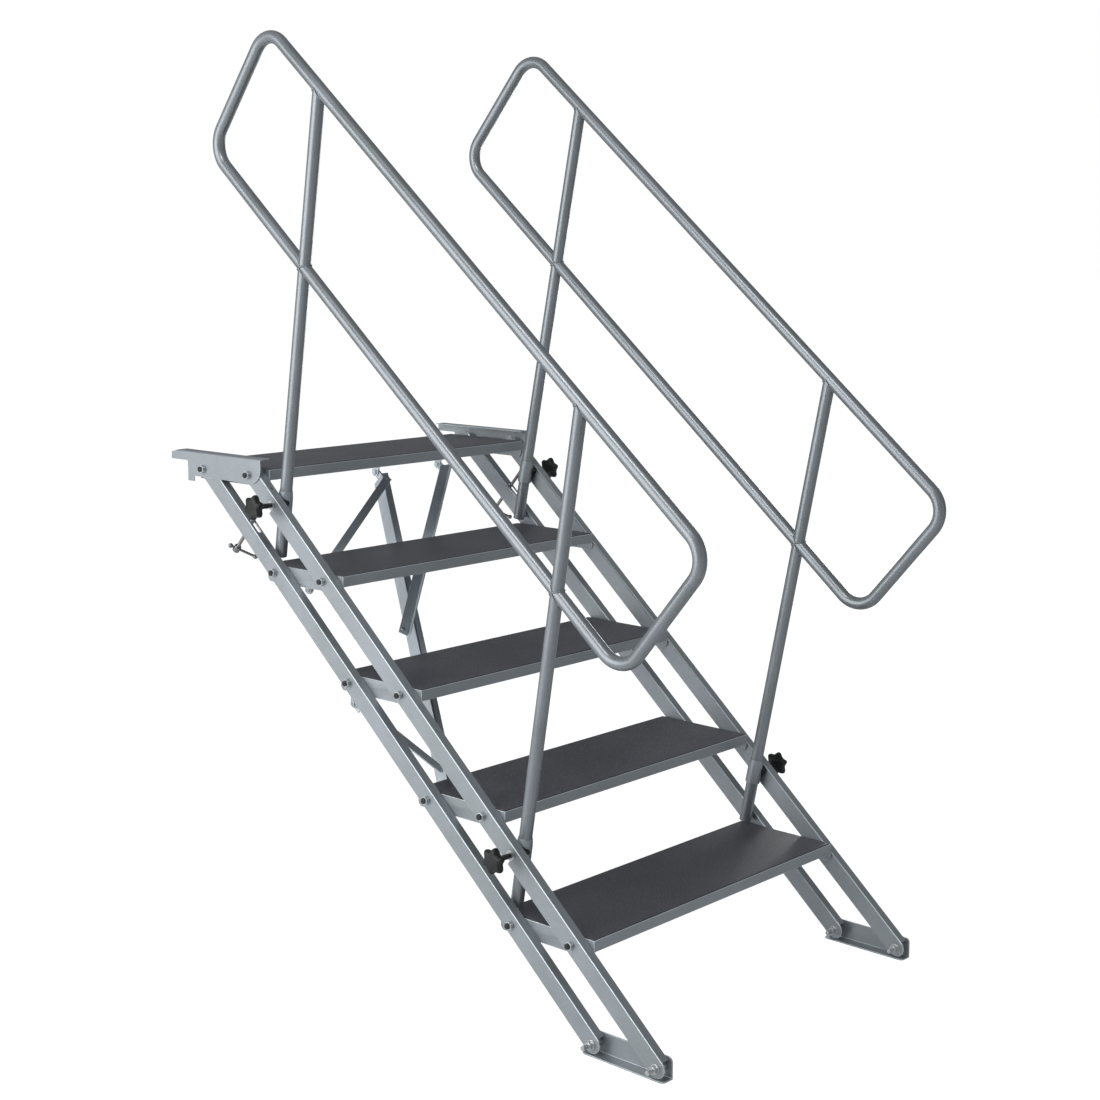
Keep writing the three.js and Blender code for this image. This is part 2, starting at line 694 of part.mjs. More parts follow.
// The sleeve the post slides in, with its stud and washer.
function clampSleeve(side) {
  const reach = (x) => side.out * x;
  const web = RAIL_FACE + (side.out < 0 ? RAIL_WIDE : RAIL_WALL);
  const bore = TUBE_RADIUS + RUNNING;
  const profile = [
    [bore, -SLEEVE_BELOW],
    [SLEEVE_RADIUS, -SLEEVE_BELOW],
    [SLEEVE_RADIUS, SLEEVE_ABOVE],
    [bore + SLEEVE_RIM, SLEEVE_ABOVE + SLEEVE_TAPER],
    [bore, SLEEVE_ABOVE + SLEEVE_TAPER],
    [bore, -SLEEVE_BELOW],
  ].map(([r, h]) => new THREE.Vector2(r, h));
  const turned = new THREE.LatheGeometry(profile, TUBE_SIDES);
  const way = new THREE.Vector3(...leaned(side, 1));
  turned.applyQuaternion(new THREE.Quaternion().setFromUnitVectors(new THREE.Vector3(0, 1, 0), way));
  const knobFrom = KNOB_OUT - KNOB_THICK * HALF;
  const root = bore + SLEEVE_WALL * HALF;
  const stud = crossRod(reach(root), reach(knobFrom + STUD_INTO_KNOB), 0, 0, STUD_RADIUS);
  const washer = crossRod(reach(web + GAP), reach(web + GAP + WASHER_THICK), 0, 0, WASHER_RADIUS);
  return join(solid(turned), stud, washer);
}

// The plastic block between sleeve and rail, hollowed for the sleeve.
function saddle(side) {
  const reach = (x) => side.out * x;
  const from = reach(SADDLE_INNER);
  const to = reach(RAIL_FACE - GAP);
  const half = [SADDLE_LONG * HALF - SADDLE_CORNER, SADDLE_WIDE * HALF - SADDLE_CORNER];
  const corners = [
    ...arc(half[1], half[0], SADDLE_CORNER, 0, 90, BEND_STEPS),
    ...arc(-half[1], half[0], SADDLE_CORNER, 90, 180, BEND_STEPS),
    ...arc(-half[1], -half[0], SADDLE_CORNER, 180, 270, BEND_STEPS),
    ...arc(half[1], -half[0], SADDLE_CORNER, 270, 360, BEND_STEPS),
  ];
  let block = plate(corners, Math.min(from, to), Math.max(from, to));
  if (side.out < 0) {
    const bossTo = RAIL_FACE + RAIL_WIDE - RAIL_WALL - GAP;
    block = join(block, crossRod(reach(RAIL_FACE * HALF), reach(bossTo), 0, 0, BOSS_RADIUS));
  }
  const long = SADDLE_LONG + SADDLE_WIDE;
  return cut(
    block,
    rod(leaned(side, -long), leaned(side, long), SLEEVE_RADIUS + GAP, TUBE_SIDES),
    crossRod(0, reach(RAIL_FACE + RAIL_WIDE + OVERCUT), 0, 0, STUD_RADIUS + RUNNING),
  );
}

// The lobed knob on its stem, bored for the stud.
function knob(side) {
  const reach = (x) => side.out * x;
  const web = RAIL_FACE + (side.out < 0 ? RAIL_WIDE : RAIL_WALL);
  const rim = (shrink) =>
    Array.from({ length: KNOB_STEPS }, (_, i) => {
      const a = (TURN * i) / KNOB_STEPS;
      const r = KNOB_RADIUS - KNOB_LOBE - shrink + KNOB_LOBE * Math.cos(KNOB_LOBES * a);
      return [r * Math.cos(a), r * Math.sin(a)];
    });
  const low = KNOB_OUT - KNOB_THICK * HALF;
  const high = KNOB_OUT + KNOB_THICK * HALF;
  const slab = (from, to, shrink) =>
    plate(rim(shrink), Math.min(reach(from), reach(to)), Math.max(reach(from), reach(to)));
  const stemFrom = web + GAP + WASHER_THICK + GAP;
  return cut(
    join(
      slab(low + KNOB_ROUND, high - KNOB_ROUND, 0),
      slab(low, high, KNOB_ROUND),
      rod(
        [reach(stemFrom), 0, 0],
        [reach(low + KNOB_ROUND), 0, 0],
        STEM_FOOT_RADIUS,
        ROUND_SIDES,
        STEM_RADIUS,
      ),
    ),
    crossRod(reach(stemFrom - OVERCUT), reach(low + STUD_INTO_KNOB + GAP), 0, 0, STUD_RADIUS + RUNNING),
  );
}

// locking spindles, square to the rails, in the rail's frame at the spindle
function spindle() {
  const top = RAIL_TOP - RAIL_WALL * HALF;
  const under = RAIL_TOP - RAIL_WALL - GAP;
  const way = [Math.cos(BAR_TURN), Math.sin(BAR_TURN)].map((share) => share * HUB_RADIUS * TWICE);
  const middle = -HUB_TOP - HUB_HEIGHT * HALF;
  return cut(
    join(
      rod([0, 0, -HUB_TOP - HUB_HEIGHT * HALF], [0, 0, top], SPINDLE_RADIUS),
      rod([0, 0, under - SPINDLE_NUT_HEIGHT], [0, 0, under], SPINDLE_NUT_RADIUS, HEX_SIDES),
      rod([0, 0, -HUB_TOP - HUB_HEIGHT], [0, 0, -HUB_TOP], HUB_RADIUS),
    ),
    rod([-way[0], -way[1], middle], [way[0], way[1], middle], BAR_RADIUS + RUNNING),
  );
}

function crossBar() {
  const middle = -HUB_TOP - HUB_HEIGHT * HALF;
  const tips = [-HALF, HALF].map((share) => {
    const along = BAR_SLID + BAR_LENGTH * share;
    return [Math.cos(BAR_TURN) * along, Math.sin(BAR_TURN) * along, middle];
  });
  const balls = tips.map((tip) => {
    const round = new THREE.SphereGeometry(BALL_RADIUS, ROUND_SIDES, END_STEPS);
    round.translate(...tip);
    return solid(round);
  });
  return join(rod(...tips, BAR_RADIUS), ...balls);
}

// bracing: x across, y up the slope and z square to it, origin on the top tread's pivot
// Lays a bar that was made along -y between two points.
function laid(bar, topX, topY, lowX, lowY) {
  const made = geometryOf(bar);
  made.rotateZ(-Math.atan2(topX - lowX, topY - lowY));
  made.translate(topX, topY, 0);
  return solid(made);
}

// The part of a bar between two heights up the slope, its ends level with the treads.
const between = (bar, low, high) =>
  bar.intersect(box([-HALF_WIDTH, HALF_WIDTH], [low, high], [-ANGLE_DEEP, ANGLE_DEEP]));

// An ear with a hole for its pin, reaching from the pivot back along the slope.
function ear(x, y, back, top) {
  const from = x + GAP;
  const head = arc(y, 0, EAR_RADIUS, back < 0 ? 90 : -90, back < 0 ? -90 : -270);
  const low = -EAR_RADIUS;
  const tail = [
    [y + back, low],
    [y + back, top],
  ];
  if (back > 0) tail.reverse();
  const body = plate([...head, ...tail], from, from + EAR_THICK);
  return { body, hole: crossRod(from - OVERCUT, from + EAR_THICK + OVERCUT, y, 0, PIN_RADIUS + RUNNING) };
}

// Where a spot of a bar lies, given from its top end: across it, and back from its low end.
function onBar(topX, topY, lowX, lowY, across, back) {
  const way = new THREE.Vector2(lowX - topX, lowY - topY).normalize();
  return [lowX - way.x * back - way.y * across, lowY - way.y * back + way.x * across];
}

// A small bolt square to the slope through the sheets between two heights, with its nut below.
function braceBolt([x, y], low, high) {
  const head = high + GAP;
  const nut = low - GAP;
  return join(
    rod([x, y, nut - BRACE_HEAD - THREAD_END], [x, y, head + BRACE_HEAD], BRACE_BOLT_RADIUS),
    rod([x, y, head], [x, y, head + BRACE_HEAD], BRACE_HEAD_RADIUS, HEX_SIDES),
    rod([x, y, nut - BRACE_HEAD], [x, y, nut], BRACE_HEAD_RADIUS, HEX_SIDES),
  );
}

const braceBore = ([x, y]) =>
  rod([x, y, -ANGLE_DEEP], [x, y, ANGLE_DEEP], BRACE_BOLT_RADIUS + GAP);

const LONG_LINE = [LONG_TOP_X, 0, LONG_LOW_X, LONG_LOW_ALONG];
const SHORT_LINE = [SHORT_TOP_X, 0, SHORT_LOW_X, -SHORT_LOW_BACK];
const UPPER_LINE = [
  UPPER_FLAT.lowX + (FLAT_WIDE * HALF + EAR_THICK) * HALF + GAP,
  UPPER_FLAT.lowAlong,
  UPPER_FLAT.topX,
  UPPER_FLAT.topAlong,
];
const UPPER_BOLT = onBar(...UPPER_LINE, 0, BRACE_BOLT_END);
const SHORT_BOLT = onBar(...SHORT_LINE, SHORT_BOLT_EDGE - SHORT_WIDE, SHORT_BOLT_END);

// The long angle: one leg hangs square to the slope, the other lies in it.
function longAngle() {
  const length = Math.hypot(LONG_TOP_X - LONG_LOW_X, LONG_LOW_ALONG);
  const bar = join(
    box([0, ANGLE_WALL], [-length, 0], [BAR_TOP - ANGLE_DEEP, BAR_TOP]),
    box([0, ANGLE_WIDE], [-length, 0], [BAR_TOP - ANGLE_WALL, BAR_TOP]),
  );
  const whole = between(laid(bar, ...LONG_LINE), LONG_LOW_ALONG + BAR_SETBACK, -BAR_SETBACK);
  const tail = BAR_SETBACK + EAR_RADIUS;
  const topEar = ear(LONG_EAR_TOP - HALF * EAR_THICK, 0, -tail, BAR_TOP);
  const lowEar = ear(LONG_EAR_LOW - HALF * EAR_THICK, LONG_LOW_ALONG, tail, BAR_TOP);
  return cut(
    join(whole, topEar.body, lowEar.body),
    topEar.hole,
    lowEar.hole,
    braceBore(UPPER_BOLT),
  );
}

// The short angle lies on the long one, with its narrow leg standing up and round at the low end.
function shortAngle() {
  const low = BAR_TOP + GAP;
  const length = Math.hypot(SHORT_TOP_X - SHORT_LOW_X, SHORT_LOW_BACK);
  const round = SHORT_LEG * HALF;
  const leg = [[0, low], [0, low + SHORT_LEG], ...arc(-length, low + round, round, 90, 270)];
  const bar = join(
    box([-SHORT_WIDE, 0], [-length, 0], [low, low + ANGLE_WALL]),
    plate(leg, -ANGLE_WALL, 0),
  );
  const whole = between(
    laid(bar, ...SHORT_LINE),
    -SHORT_LOW_BACK - SHORT_WIDE,
    -BAR_SETBACK,
  );
  const topEar = ear(
    SHORT_EAR_TOP - HALF * EAR_THICK,
    0,
    -BAR_SETBACK * TWICE,
    low + ANGLE_WALL * HALF,
  );
  return cut(join(whole, topEar.body), topEar.hole, braceBore(SHORT_BOLT));
}

// A flat bar along a line, at a height above the bracing's plane.
function flatBar(line, low) {
  const [topX, topY, lowX, lowY] = line;
  const length = Math.hypot(topX - lowX, topY - lowY);
  const half = FLAT_WIDE * HALF;
  return laid(box([-half, half], [-length, 0], [low, low + FLAT_THICK]), ...line);
}

// The upper flat bar, from its ear on the fourth tread up to the bolt on the long angle.
function upperFlat() {
  const low = BAR_TOP + GAP;
  const end = ear(
    UPPER_FLAT.lowX,
    UPPER_FLAT.lowAlong,
    EAR_RADIUS,
    low + FLAT_THICK * HALF,
  );
  return cut(join(flatBar(UPPER_LINE, low), end.body), end.hole, braceBore(UPPER_BOLT));
}

// The lower flat bar, from its ear on the third tread down to the long angle's hanging leg.
function lowerFlat() {
  const topY = LOWER_FLAT.topAlong;
  const clear = FLAT_WIDE * HALF - EAR_THICK;
  const low = -FLAT_THICK * HALF;
  const line = [LOWER_FLAT.topX + clear, topY, LOWER_FLAT.lowX, LOWER_FLAT.lowAlong];
  const first = ear(LOWER_FLAT.topX, topY, -EAR_RADIUS * TWICE, low + FLAT_THICK);
  const strip = between(flatBar(line, low), LOWER_FLAT.lowAlong - FLAT_WIDE, topY - EAR_RADIUS);
  const beyond = Math.hypot(LONG_TOP_X - LONG_LOW_X, LONG_LOW_ALONG);
  const side = laid(
    box([-GAP, TREAD_WIDTH], [-beyond, 0], [-ANGLE_DEEP, ANGLE_DEEP]),
    ...LONG_LINE,
  );
  return cut(join(cut(strip, side), first.body), first.hole);
}

// the whole stair
function named(name, body, look, place = [0, 0, 0]) {
  const mesh = new THREE.Mesh(geometryOf(body), new THREE.MeshStandardMaterial(look));
  mesh.name = name;
  mesh.position.set(...place);
  return mesh;
}

function frameAt(y, z, slope) {
  const frame = new THREE.Group();
  frame.position.set(0, y, z);
  frame.rotation.x = slope;
  return frame;
}

const stairs = new THREE.Group();
stairs.name = "stage_stairs";
const upper = frameAt(0, FOOT_BOLT_HEIGHT, SLOPE);
const lower = frameAt(LINK, FOOT_BOLT_HEIGHT, SLOPE);
stairs.add(upper, lower);

for (const side of SIDES) {
  const { name } = side;
  upper.add(named("rail_upper_" + name, upperRail(), paint, [side.web, 0, 0]));
  lower.add(named("rail_lower_" + name, lowerRail(), paint, [side.web, 0, 0]));
  stairs.add(named("foot_" + name, foot(side.web), paint));
  const bolt = footBolt(side.web);
  stairs.add(named("foot_bolt_front_" + name, bolt, zinc, [0, 0, FOOT_BOLT_HEIGHT]));
  stairs.add(named("foot_bolt_rear_" + name, bolt, zinc, [0, LINK, FOOT_BOLT_HEIGHT]));

  const plane = new THREE.Group();
  plane.position.set(side.out * HAND_PLANE, REAR_STUD, RAIL_MIDDLE);
  plane.rotation.y = side.out * SPLAY;
  upper.add(plane);
  plane.add(named("handrail_loop_" + name, handrailLoop(), paint));
  for (const [end, stud] of Object.entries(STUDS)) {
    const tag = end + "_" + name;
    plane.add(named("handrail_upright_" + tag, upright(stud), paint));
    plane.add(named("handrail_post_" + tag, post(stud), paint));
    const root = [side.out * HAND_PLANE, REAR_STUD + stud, RAIL_MIDDLE];
    upper.add(named("clamp_sleeve_" + tag, clampSleeve(side), paint, root));
    upper.add(named("clamp_saddle_" + tag, saddle(side), plastic, root));
    upper.add(named("clamp_knob_" + tag, knob(side), plastic, root));
  }
  const spot = [side.web + SPINDLE_ACROSS, SPINDLE_ALONG, 0];
  upper.add(named("lock_spindle_" + name, spindle(), zinc, spot));
  upper.add(named("lock_bar_" + name, crossBar(), zinc, spot));
}

for (let step = 0; step < STEPS; step++) {
  const along = (FIRST_STEP_SHARE + step) * PITCH;
  const place = frameAt(
    along * Math.cos(SLOPE),
    FOOT_BOLT_HEIGHT + along * Math.sin(SLOPE),
    0,
  );
  place.add(named("tread_frame_" + (step + 1), treadFrame(step), paint));
  place.add(named("tread_panel_" + (step + 1), treadPanel(), film));
  if (step === LAST) {
    for (const side of SIDES)
      place.add(named("hook_bracket_" + side.name, hookBracket(side), paint));
    place.add(named("brace_bracket_top", barBracket(LONG_EAR_TOP - EAR_THICK * HALF), paint));
    place.add(named("brace_bracket_side", barBracket(SHORT_EAR_TOP - EAR_THICK * HALF), paint));
  }
  if (step === LAST - LONG_LOW_STEPS)
    place.add(named("brace_bracket_low", barBracket(LONG_EAR_LOW - EAR_THICK * HALF), paint));
  stairs.add(place);
}

const bracing = frameAt(
  RAIL_RUN * Math.cos(SLOPE) + PIVOT[0],
  FOOT_BOLT_HEIGHT + RAIL_RUN * Math.sin(SLOPE) + PIVOT[1],
  SLOPE,
);
const lying = BAR_TOP + GAP;
bracing.add(named("brace_angle_long", longAngle(), paint));
bracing.add(named("brace_angle_short", shortAngle(), paint));
bracing.add(named("brace_flat_upper", upperFlat(), paint));
bracing.add(named("brace_flat_lower", lowerFlat(), paint));
bracing.add(
  named("brace_bolt_upper", braceBolt(UPPER_BOLT, BAR_TOP - ANGLE_WALL, lying + FLAT_THICK), zinc),
);
bracing.add(named("brace_bolt_short", braceBolt(SHORT_BOLT, lying, lying + ANGLE_WALL), zinc));
stairs.add(bracing);

// The origin lies on the floor under the middle of the whole stair.
stairs.updateMatrixWorld(true);
const bounds = new THREE.Box3().setFromObject(stairs, true);
const middle = bounds.getCenter(new THREE.Vector3());
stairs.position.set(-middle.x, -middle.y, -bounds.min.z);

export default stairs;
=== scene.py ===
# %% [markdown]
# # Stage stairs, dressed for the camera
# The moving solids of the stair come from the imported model. This lesson gives them their looks:
# round tubes and knobs are worked out as grids of points, folded sheet parts get their bends, and
# every surface gets a finish made of shader nodes.

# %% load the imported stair
import json
import math
import bmesh
import bpy
import numpy as np
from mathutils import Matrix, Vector


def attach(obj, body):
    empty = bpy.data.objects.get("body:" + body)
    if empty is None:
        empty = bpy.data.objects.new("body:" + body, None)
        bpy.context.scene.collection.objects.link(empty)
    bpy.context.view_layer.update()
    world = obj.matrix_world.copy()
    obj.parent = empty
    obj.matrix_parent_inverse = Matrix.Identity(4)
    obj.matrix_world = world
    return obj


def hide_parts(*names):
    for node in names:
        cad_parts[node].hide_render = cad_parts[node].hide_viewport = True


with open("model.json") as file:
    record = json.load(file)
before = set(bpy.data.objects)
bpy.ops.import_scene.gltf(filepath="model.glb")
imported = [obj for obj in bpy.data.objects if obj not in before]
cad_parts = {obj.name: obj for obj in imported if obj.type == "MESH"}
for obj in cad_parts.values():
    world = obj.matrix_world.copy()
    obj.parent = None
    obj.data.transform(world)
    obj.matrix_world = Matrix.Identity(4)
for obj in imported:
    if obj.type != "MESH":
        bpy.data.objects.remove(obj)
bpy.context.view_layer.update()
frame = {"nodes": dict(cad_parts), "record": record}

# %% [markdown]
# ## Where things are
# The stair leans by one angle, so most pieces are easiest to place in the rails' own directions:
# x across the stair, `along` up the slope from the front foot bolts, and `off` square to the
# rails. `on_rails` turns such points into the room's frame. The handrails stand in planes that
# lean outwards a little, so they have a second step. Every piece could be worked out in the
# room's frame at once, but then each formula would carry the slope's sine and cosine.

# %% sizes in metres
SLOPE = math.radians(41.3)
FOOT_Y, FOOT_Z = -0.675291, 0.024  # the front foot bolts
PITCH, FIRST_SHARE, STEPS = 0.315, 0.9, 5  # treads along the rails: spacing, first place, count
RUN = (FIRST_SHARE + STEPS - 1) * PITCH  # from the front foot bolts to the top tread's
LINK = 0.160  # between the two bolts of a tread
LEFT_WEB, RIGHT_WEB = -0.4215, 0.4015  # the web faces that end in a rail's fold
FLANGE, WALL = 0.020, 0.003  # a rail's section
HAND_X, RAIL_MIDDLE = 0.383, 0.002  # a handrail's plane at its studs
SPLAY = math.radians(1.4)  # its lean outwards
POST_ANGLE = math.radians(30.8)  # the posts' lean from square to the rails
REAR_STUD = RUN - 0.094
STUDS = {"rear": REAR_STUD, "front": (FIRST_SHARE + 1) * PITCH - 0.100}
TUBE, TUBE_WALL, TUBE_SIDES = 0.01345, 0.002, 40
SIDES = {"left": -1, "right": 1}
print("foot bolts to top tread, metres:", round(RUN, 4))


# %% from the rails' directions to the room
def on_rails(points):
    """(x, along, off) to the room: along and off turn by the slope about the front foot bolts."""
    p = np.asarray(points, float)
    along, off = p[..., 1], p[..., 2]
    y = FOOT_Y + along * math.cos(SLOPE) - off * math.sin(SLOPE)
    z = FOOT_Z + along * math.sin(SLOPE) + off * math.cos(SLOPE)
    return np.stack([p[..., 0], y, z], -1)


def on_handrail(points, out):
    """(x, along, up) in a handrail's plane to the room: a lean about the studs, then the slope."""
    p = np.asarray(points, float)
    lean = out * SPLAY
    x = out * HAND_X + p[..., 0] * math.cos(lean) + p[..., 2] * math.sin(lean)
    off = RAIL_MIDDLE - p[..., 0] * math.sin(lean) + p[..., 2] * math.cos(lean)
    return on_rails(np.stack([x, REAR_STUD + p[..., 1], off], -1))


# %% [markdown]
# ## From a grid of points to a mesh
# A surface that is a function of two parameters is a grid: rows along it, columns round it. Its
# faces join each point with its neighbours, and index arithmetic finds them all at once. A grid
# may close on itself in either direction, and an open tube may get a flat cap at both ends.
# Ready-made cylinders could be bent into some of these shapes, but a formula says exactly where
# each point lies, so a tube fills the same space as the solid that it stands for. Two functions
# make the round grids: `turned` works as a lathe does, and `swept` carries a circle along a path.

# %% grids, joined into one mesh
def grid_faces(rows, columns, ring, loop):
    """Four corners for every cell of a grid: ring closes the columns, loop closes the rows."""
    i = np.arange(rows if loop else rows - 1)[:, None]
    j = np.arange(columns if ring else columns - 1)[None, :]
    i2, j2 = (i + 1) % rows, (j + 1) % columns
    return np.stack(
        [i * columns + j, i * columns + j2, i2 * columns + j2, i2 * columns + j], -1
    ).reshape(-1, 4)


def made_of(title, *grids, smooth_under=38):
    """One mesh object from (points, ring, loop, caps) grids, shaded smooth below an angle."""
    spots, faces, base = [], [], 0
    for points, ring, loop, caps in grids:
        rows, columns = points.shape[:2]
        spots.append(points.reshape(-1, 3))
        faces += (grid_faces(rows, columns, ring, loop) + base).tolist()
        if caps:
            faces.append((base + np.arange(columns)[::-1]).tolist())
            faces.append((base + (rows - 1) * columns + np.arange(columns)).tolist())
        base += rows * columns
    mesh = bpy.data.meshes.new(title)
    mesh.from_pydata(np.concatenate(spots).tolist(), [], faces)
    thing = bpy.data.objects.new(title, mesh)
    bpy.context.scene.collection.objects.link(thing)
    outward(mesh, smooth_under)
    return thing


def outward(mesh, smooth_under):
    """Turns every face outwards and marks edges sharper than an angle, in degrees."""
    work = bmesh.new()
    work.from_mesh(mesh)
    bmesh.ops.recalc_face_normals(work, faces=work.faces)
    work.to_mesh(mesh)
    work.free()
    mesh.polygons.foreach_set("use_smooth", np.ones(len(mesh.polygons), bool))
    mesh.set_sharp_from_angle(angle=math.radians(smooth_under))


# %% two ways to make a round grid
def turned(profile, sides, start, way, across=(1, 0, 0)):
    """A lathe: each (radius, height) is a circle round the line, centre = start + way * height."""
    profile = np.asarray(profile, float)
    way = np.asarray(way, float) / np.linalg.norm(way)
    first = np.cross(way, across)
    first /= np.linalg.norm(first)
    second = np.cross(way, first)
    angle = np.arange(sides) * 2 * np.pi / sides
    circle = np.cos(angle)[:, None] * first + np.sin(angle)[:, None] * second
    return (
        np.asarray(start, float)
        + profile[:, 1, None, None] * way
        + profile[:, 0, None, None] * circle
    )


def swept(path, first, second, radius, sides):
    """A round bar: point = path + radius * (first * cos + second * sin), at each path point."""
    angle = np.arange(sides) * 2 * np.pi / sides
    radius = np.broadcast_to(radius, len(path))[:, None, None]
    circle = (
        np.cos(angle)[None, :, None] * first[:, None, :]
        + np.sin(angle)[None, :, None] * second[:, None, :]
    )
    return path[:, None, :] + radius * circle


# %% [markdown]
# ## Shader sums as Python sums
# A finish is a web of nodes. Reading it is easier when the sums are written as sums, so `Wire`
# wraps one output socket and its operators add Math nodes. `Finish` holds one material and adds
# every other node with a single method: settings first, then the values or links of its sockets.

# %% one output of a node
class Wire:
    """One output of a node, which can be added, multiplied and so on."""

    def __init__(self, finish, socket):
        self.finish, self.socket = finish, socket

    def maths(self, operation, *others):
        """A Math node on this value and the others."""
        values = dict(enumerate((self, *others)))
        return self.finish.node("ShaderNodeMath", {"operation": operation}, values)

    def __add__(self, other):
        return self.maths("ADD", other)

    def __sub__(self, other):
        return self.maths("SUBTRACT", other)

    def __rsub__(self, other):
        values = {0: other, 1: self}
        return self.finish.node("ShaderNodeMath", {"operation": "SUBTRACT"}, values)

    def __mul__(self, other):
        return self.maths("MULTIPLY", other)

    def __abs__(self):
        return self.maths("ABSOLUTE")

    __radd__, __rmul__ = __add__, __mul__

    def between(self, low, high):
        """0 below low, 1 above high and a smooth rise between them."""
        settings = {"interpolation_type": "SMOOTHSTEP"}
        values = {"Value": self, "From Min": low, "From Max": high}
        return self.finish.node("ShaderNodeMapRange", settings, values, "Result")


# %% one material
class Finish:
    """One material: a Principled shader whose sockets are set by value or by a Wire."""

    def __init__(self, title, **fixed):
        self.material = bpy.data.materials.new(title)
        self.material.use_nodes = True
        self.tree = self.material.node_tree
        self.tree.nodes.clear()
        self.shader = self.tree.nodes.new("ShaderNodeBsdfPrincipled")
        self.output = self.tree.nodes.new("ShaderNodeOutputMaterial")
        self.tree.links.new(self.shader.outputs["BSDF"], self.output.inputs["Surface"])
        self.set(**fixed)
        where = self.tree.nodes.new("ShaderNodeTexCoord")
        self.place = Wire(self, where.outputs["Object"])

    def set(self, **sockets):
        """Sets the shader's sockets by name, with _ for each space."""
        self.feed(self.shader, {k.replace("_", " "): v for k, v in sockets.items()})

    def fill(self, socket, value):
        """A link into the socket where the value is a Wire, else the value itself."""
        if isinstance(value, Wire):
            self.tree.links.new(value.socket, socket)
        else:
            socket.default_value = value

    def feed(self, node, sockets):
        """Fills a node's sockets, each by its number or by the name that is in use."""
        for key, value in sockets.items():
            named = [s for s in node.inputs if s.name == key and s.enabled]
            self.fill(node.inputs[key] if isinstance(key, int) else named[0], value)

    def node(self, kind, settings, sockets, out=0):
        """A node of that kind: its settings, then its sockets, and the output wanted as a Wire."""
        node = self.tree.nodes.new(kind)
        for key, value in settings.items():
            setattr(node, key, value)
        self.feed(node, sockets)
        return Wire(self, node.outputs[out])

    def noise(self, scale, detail=3.0, rough=0.5, place=None):
        """Cloudy noise from 0 to 1; scale is in waves per metre."""
        where = {"Vector": place or self.place, "Scale": scale}
        depth = {"Detail": detail, "Roughness": rough}
        return self.node(
            "ShaderNodeTexNoise", {"noise_dimensions": "3D"}, {**where, **depth}, "Fac"
        )

    def cells(self, scale):
        """Distance to the nearest of many scattered points; scale is in cells per metre."""
        where = {"Vector": self.place, "Scale": scale}
        return self.node("ShaderNodeTexVoronoi", {"feature": "F1"}, where, "Distance")

    def stretched(self, scales):
        """Object coordinates made longer or shorter along each axis."""
        where = {"Vector": self.place, "Scale": scales}
        return self.node("ShaderNodeMapping", {"vector_type": "POINT"}, where)

    def axis(self, letter):
        """One of the object coordinates, X, Y or Z."""
        return self.node("ShaderNodeSeparateXYZ", {}, {"Vector": self.place}, letter)

    def mixed(self, share, first, second):
        """A colour that goes from first to second as share goes from 0 to 1."""
        node = self.tree.nodes.new("ShaderNodeMix")
        node.data_type = "RGBA"
        colours = [s for s in node.inputs if s.type == "RGBA"]
        for socket, value in zip([node.inputs[0], *colours], (share, first, second)):
            self.fill(socket, value)
        return Wire(self, next(s for s in node.outputs if s.type == "RGBA"))

    def bumped(self, height, depth, strength=1.0):
        """A Bump node that feeds the shader's Normal; depth is in metres."""
        sockets = {"Height": height, "Distance": depth, "Strength": strength}
        self.set(Normal=self.node("ShaderNodeBump", {}, sockets, "Normal"))


def tone(value, tint=(1.0, 1.0, 1.0)):
    """A colour from a screen grey of 0 to 255 and a tint, in the linear numbers that nodes use."""
    share = value / 255
    linear = ((share + 0.055) / 1.055) ** 2.4 if share > 0.04045 else share / 12.92
    return (*[min(1.0, linear * t) for t in tint], 1.0)


# %% [markdown]
# ## Finishes
# The folded sheet and the tubes have a silver-grey metallic coat: a soft sheen, a hardly visible
# cloudiness and the faint orange peel of sprayed paint. One grey and one roughness would do from
# afar, but close by they look like plastic. So a large noise clouds the grey, a finer one adds
# pale specks, small cells in the roughness stand for the metal flakes, and a shallow bump is the
# peel. The tubes have the same coat in a grey of their own. The bracing gets it in lighter greys,
# painted light that brightens the bars shaded under the treads. The rounded folds and edges get
# it in a near-white grey, a painted highlight that draws them as pale lines.

# %% silver-grey coat
def silver(title, grey=166, metal=0.5, rough=0.34, peel=0.00004):
    """Metallic coat: cloudy grey, flakes in its roughness and orange peel as bump."""
    coat = Finish(title, IOR=1.5)
    cloud = coat.noise(7, 4, 0.6).between(0.3, 0.7)
    speck = coat.noise(260, 2, 0.6).between(0.35, 0.75)
    flakes = coat.cells(1400).between(0.1, 0.5)
    low = coat.mixed(cloud, tone(grey - 5, (0.9, 1.0, 1.03)), tone(grey + 5, (0.91, 0.99, 1.07)))
    colour = coat.mixed(speck * 0.25, low, tone(grey + 24, (0.93, 1.0, 1.07)))
    coat.set(Base_Color=colour, Metallic=metal, Roughness=flakes * 0.06 + cloud * 0.05 + rough)
    coat.bumped(coat.noise(420, 2, 0.5) + speck * 0.2, peel, 0.2)
    return coat


paint = silver("silver_coat")
# painted highlight: a near-white coat for the bevels, which draws pale lines along folds and edges
painted_edge_highlight = silver("painted_highlight_on_edges", grey=232, metal=0.3, rough=0.28)
# painted light: lighter greys of the same coat, which brighten the bracing where the treads shade
# it
painted_light_brace = silver("brace_painted_light", grey=212, metal=0.3, rough=0.4)
painted_light_short_brace = silver("short_brace_painted_light", grey=232, metal=0.2, rough=0.45)
tube_paint = silver("tube_coat", grey=146, metal=0.5, rough=0.26, peel=0.00001)
print("coat nodes:", len(paint.tree.nodes))

# %% [markdown]
# Bolts, nuts and spindles are plated with zinc: bright, a little streaked and never as smooth as
# a mirror. A plain metal would look like chrome, so one noise streaks the colour and another
# varies the roughness. The bolts that stick out of a tread's ends belong to the tread's own mesh.
# They could be cut off and dressed apart, but a finish that changes by place is simpler: where
# |x| is further out than the tread is wide, the coat turns to zinc.

# %% zinc, and the coat that turns to zinc outside the treads
PAST_TREAD = (0.4002, 0.4005)


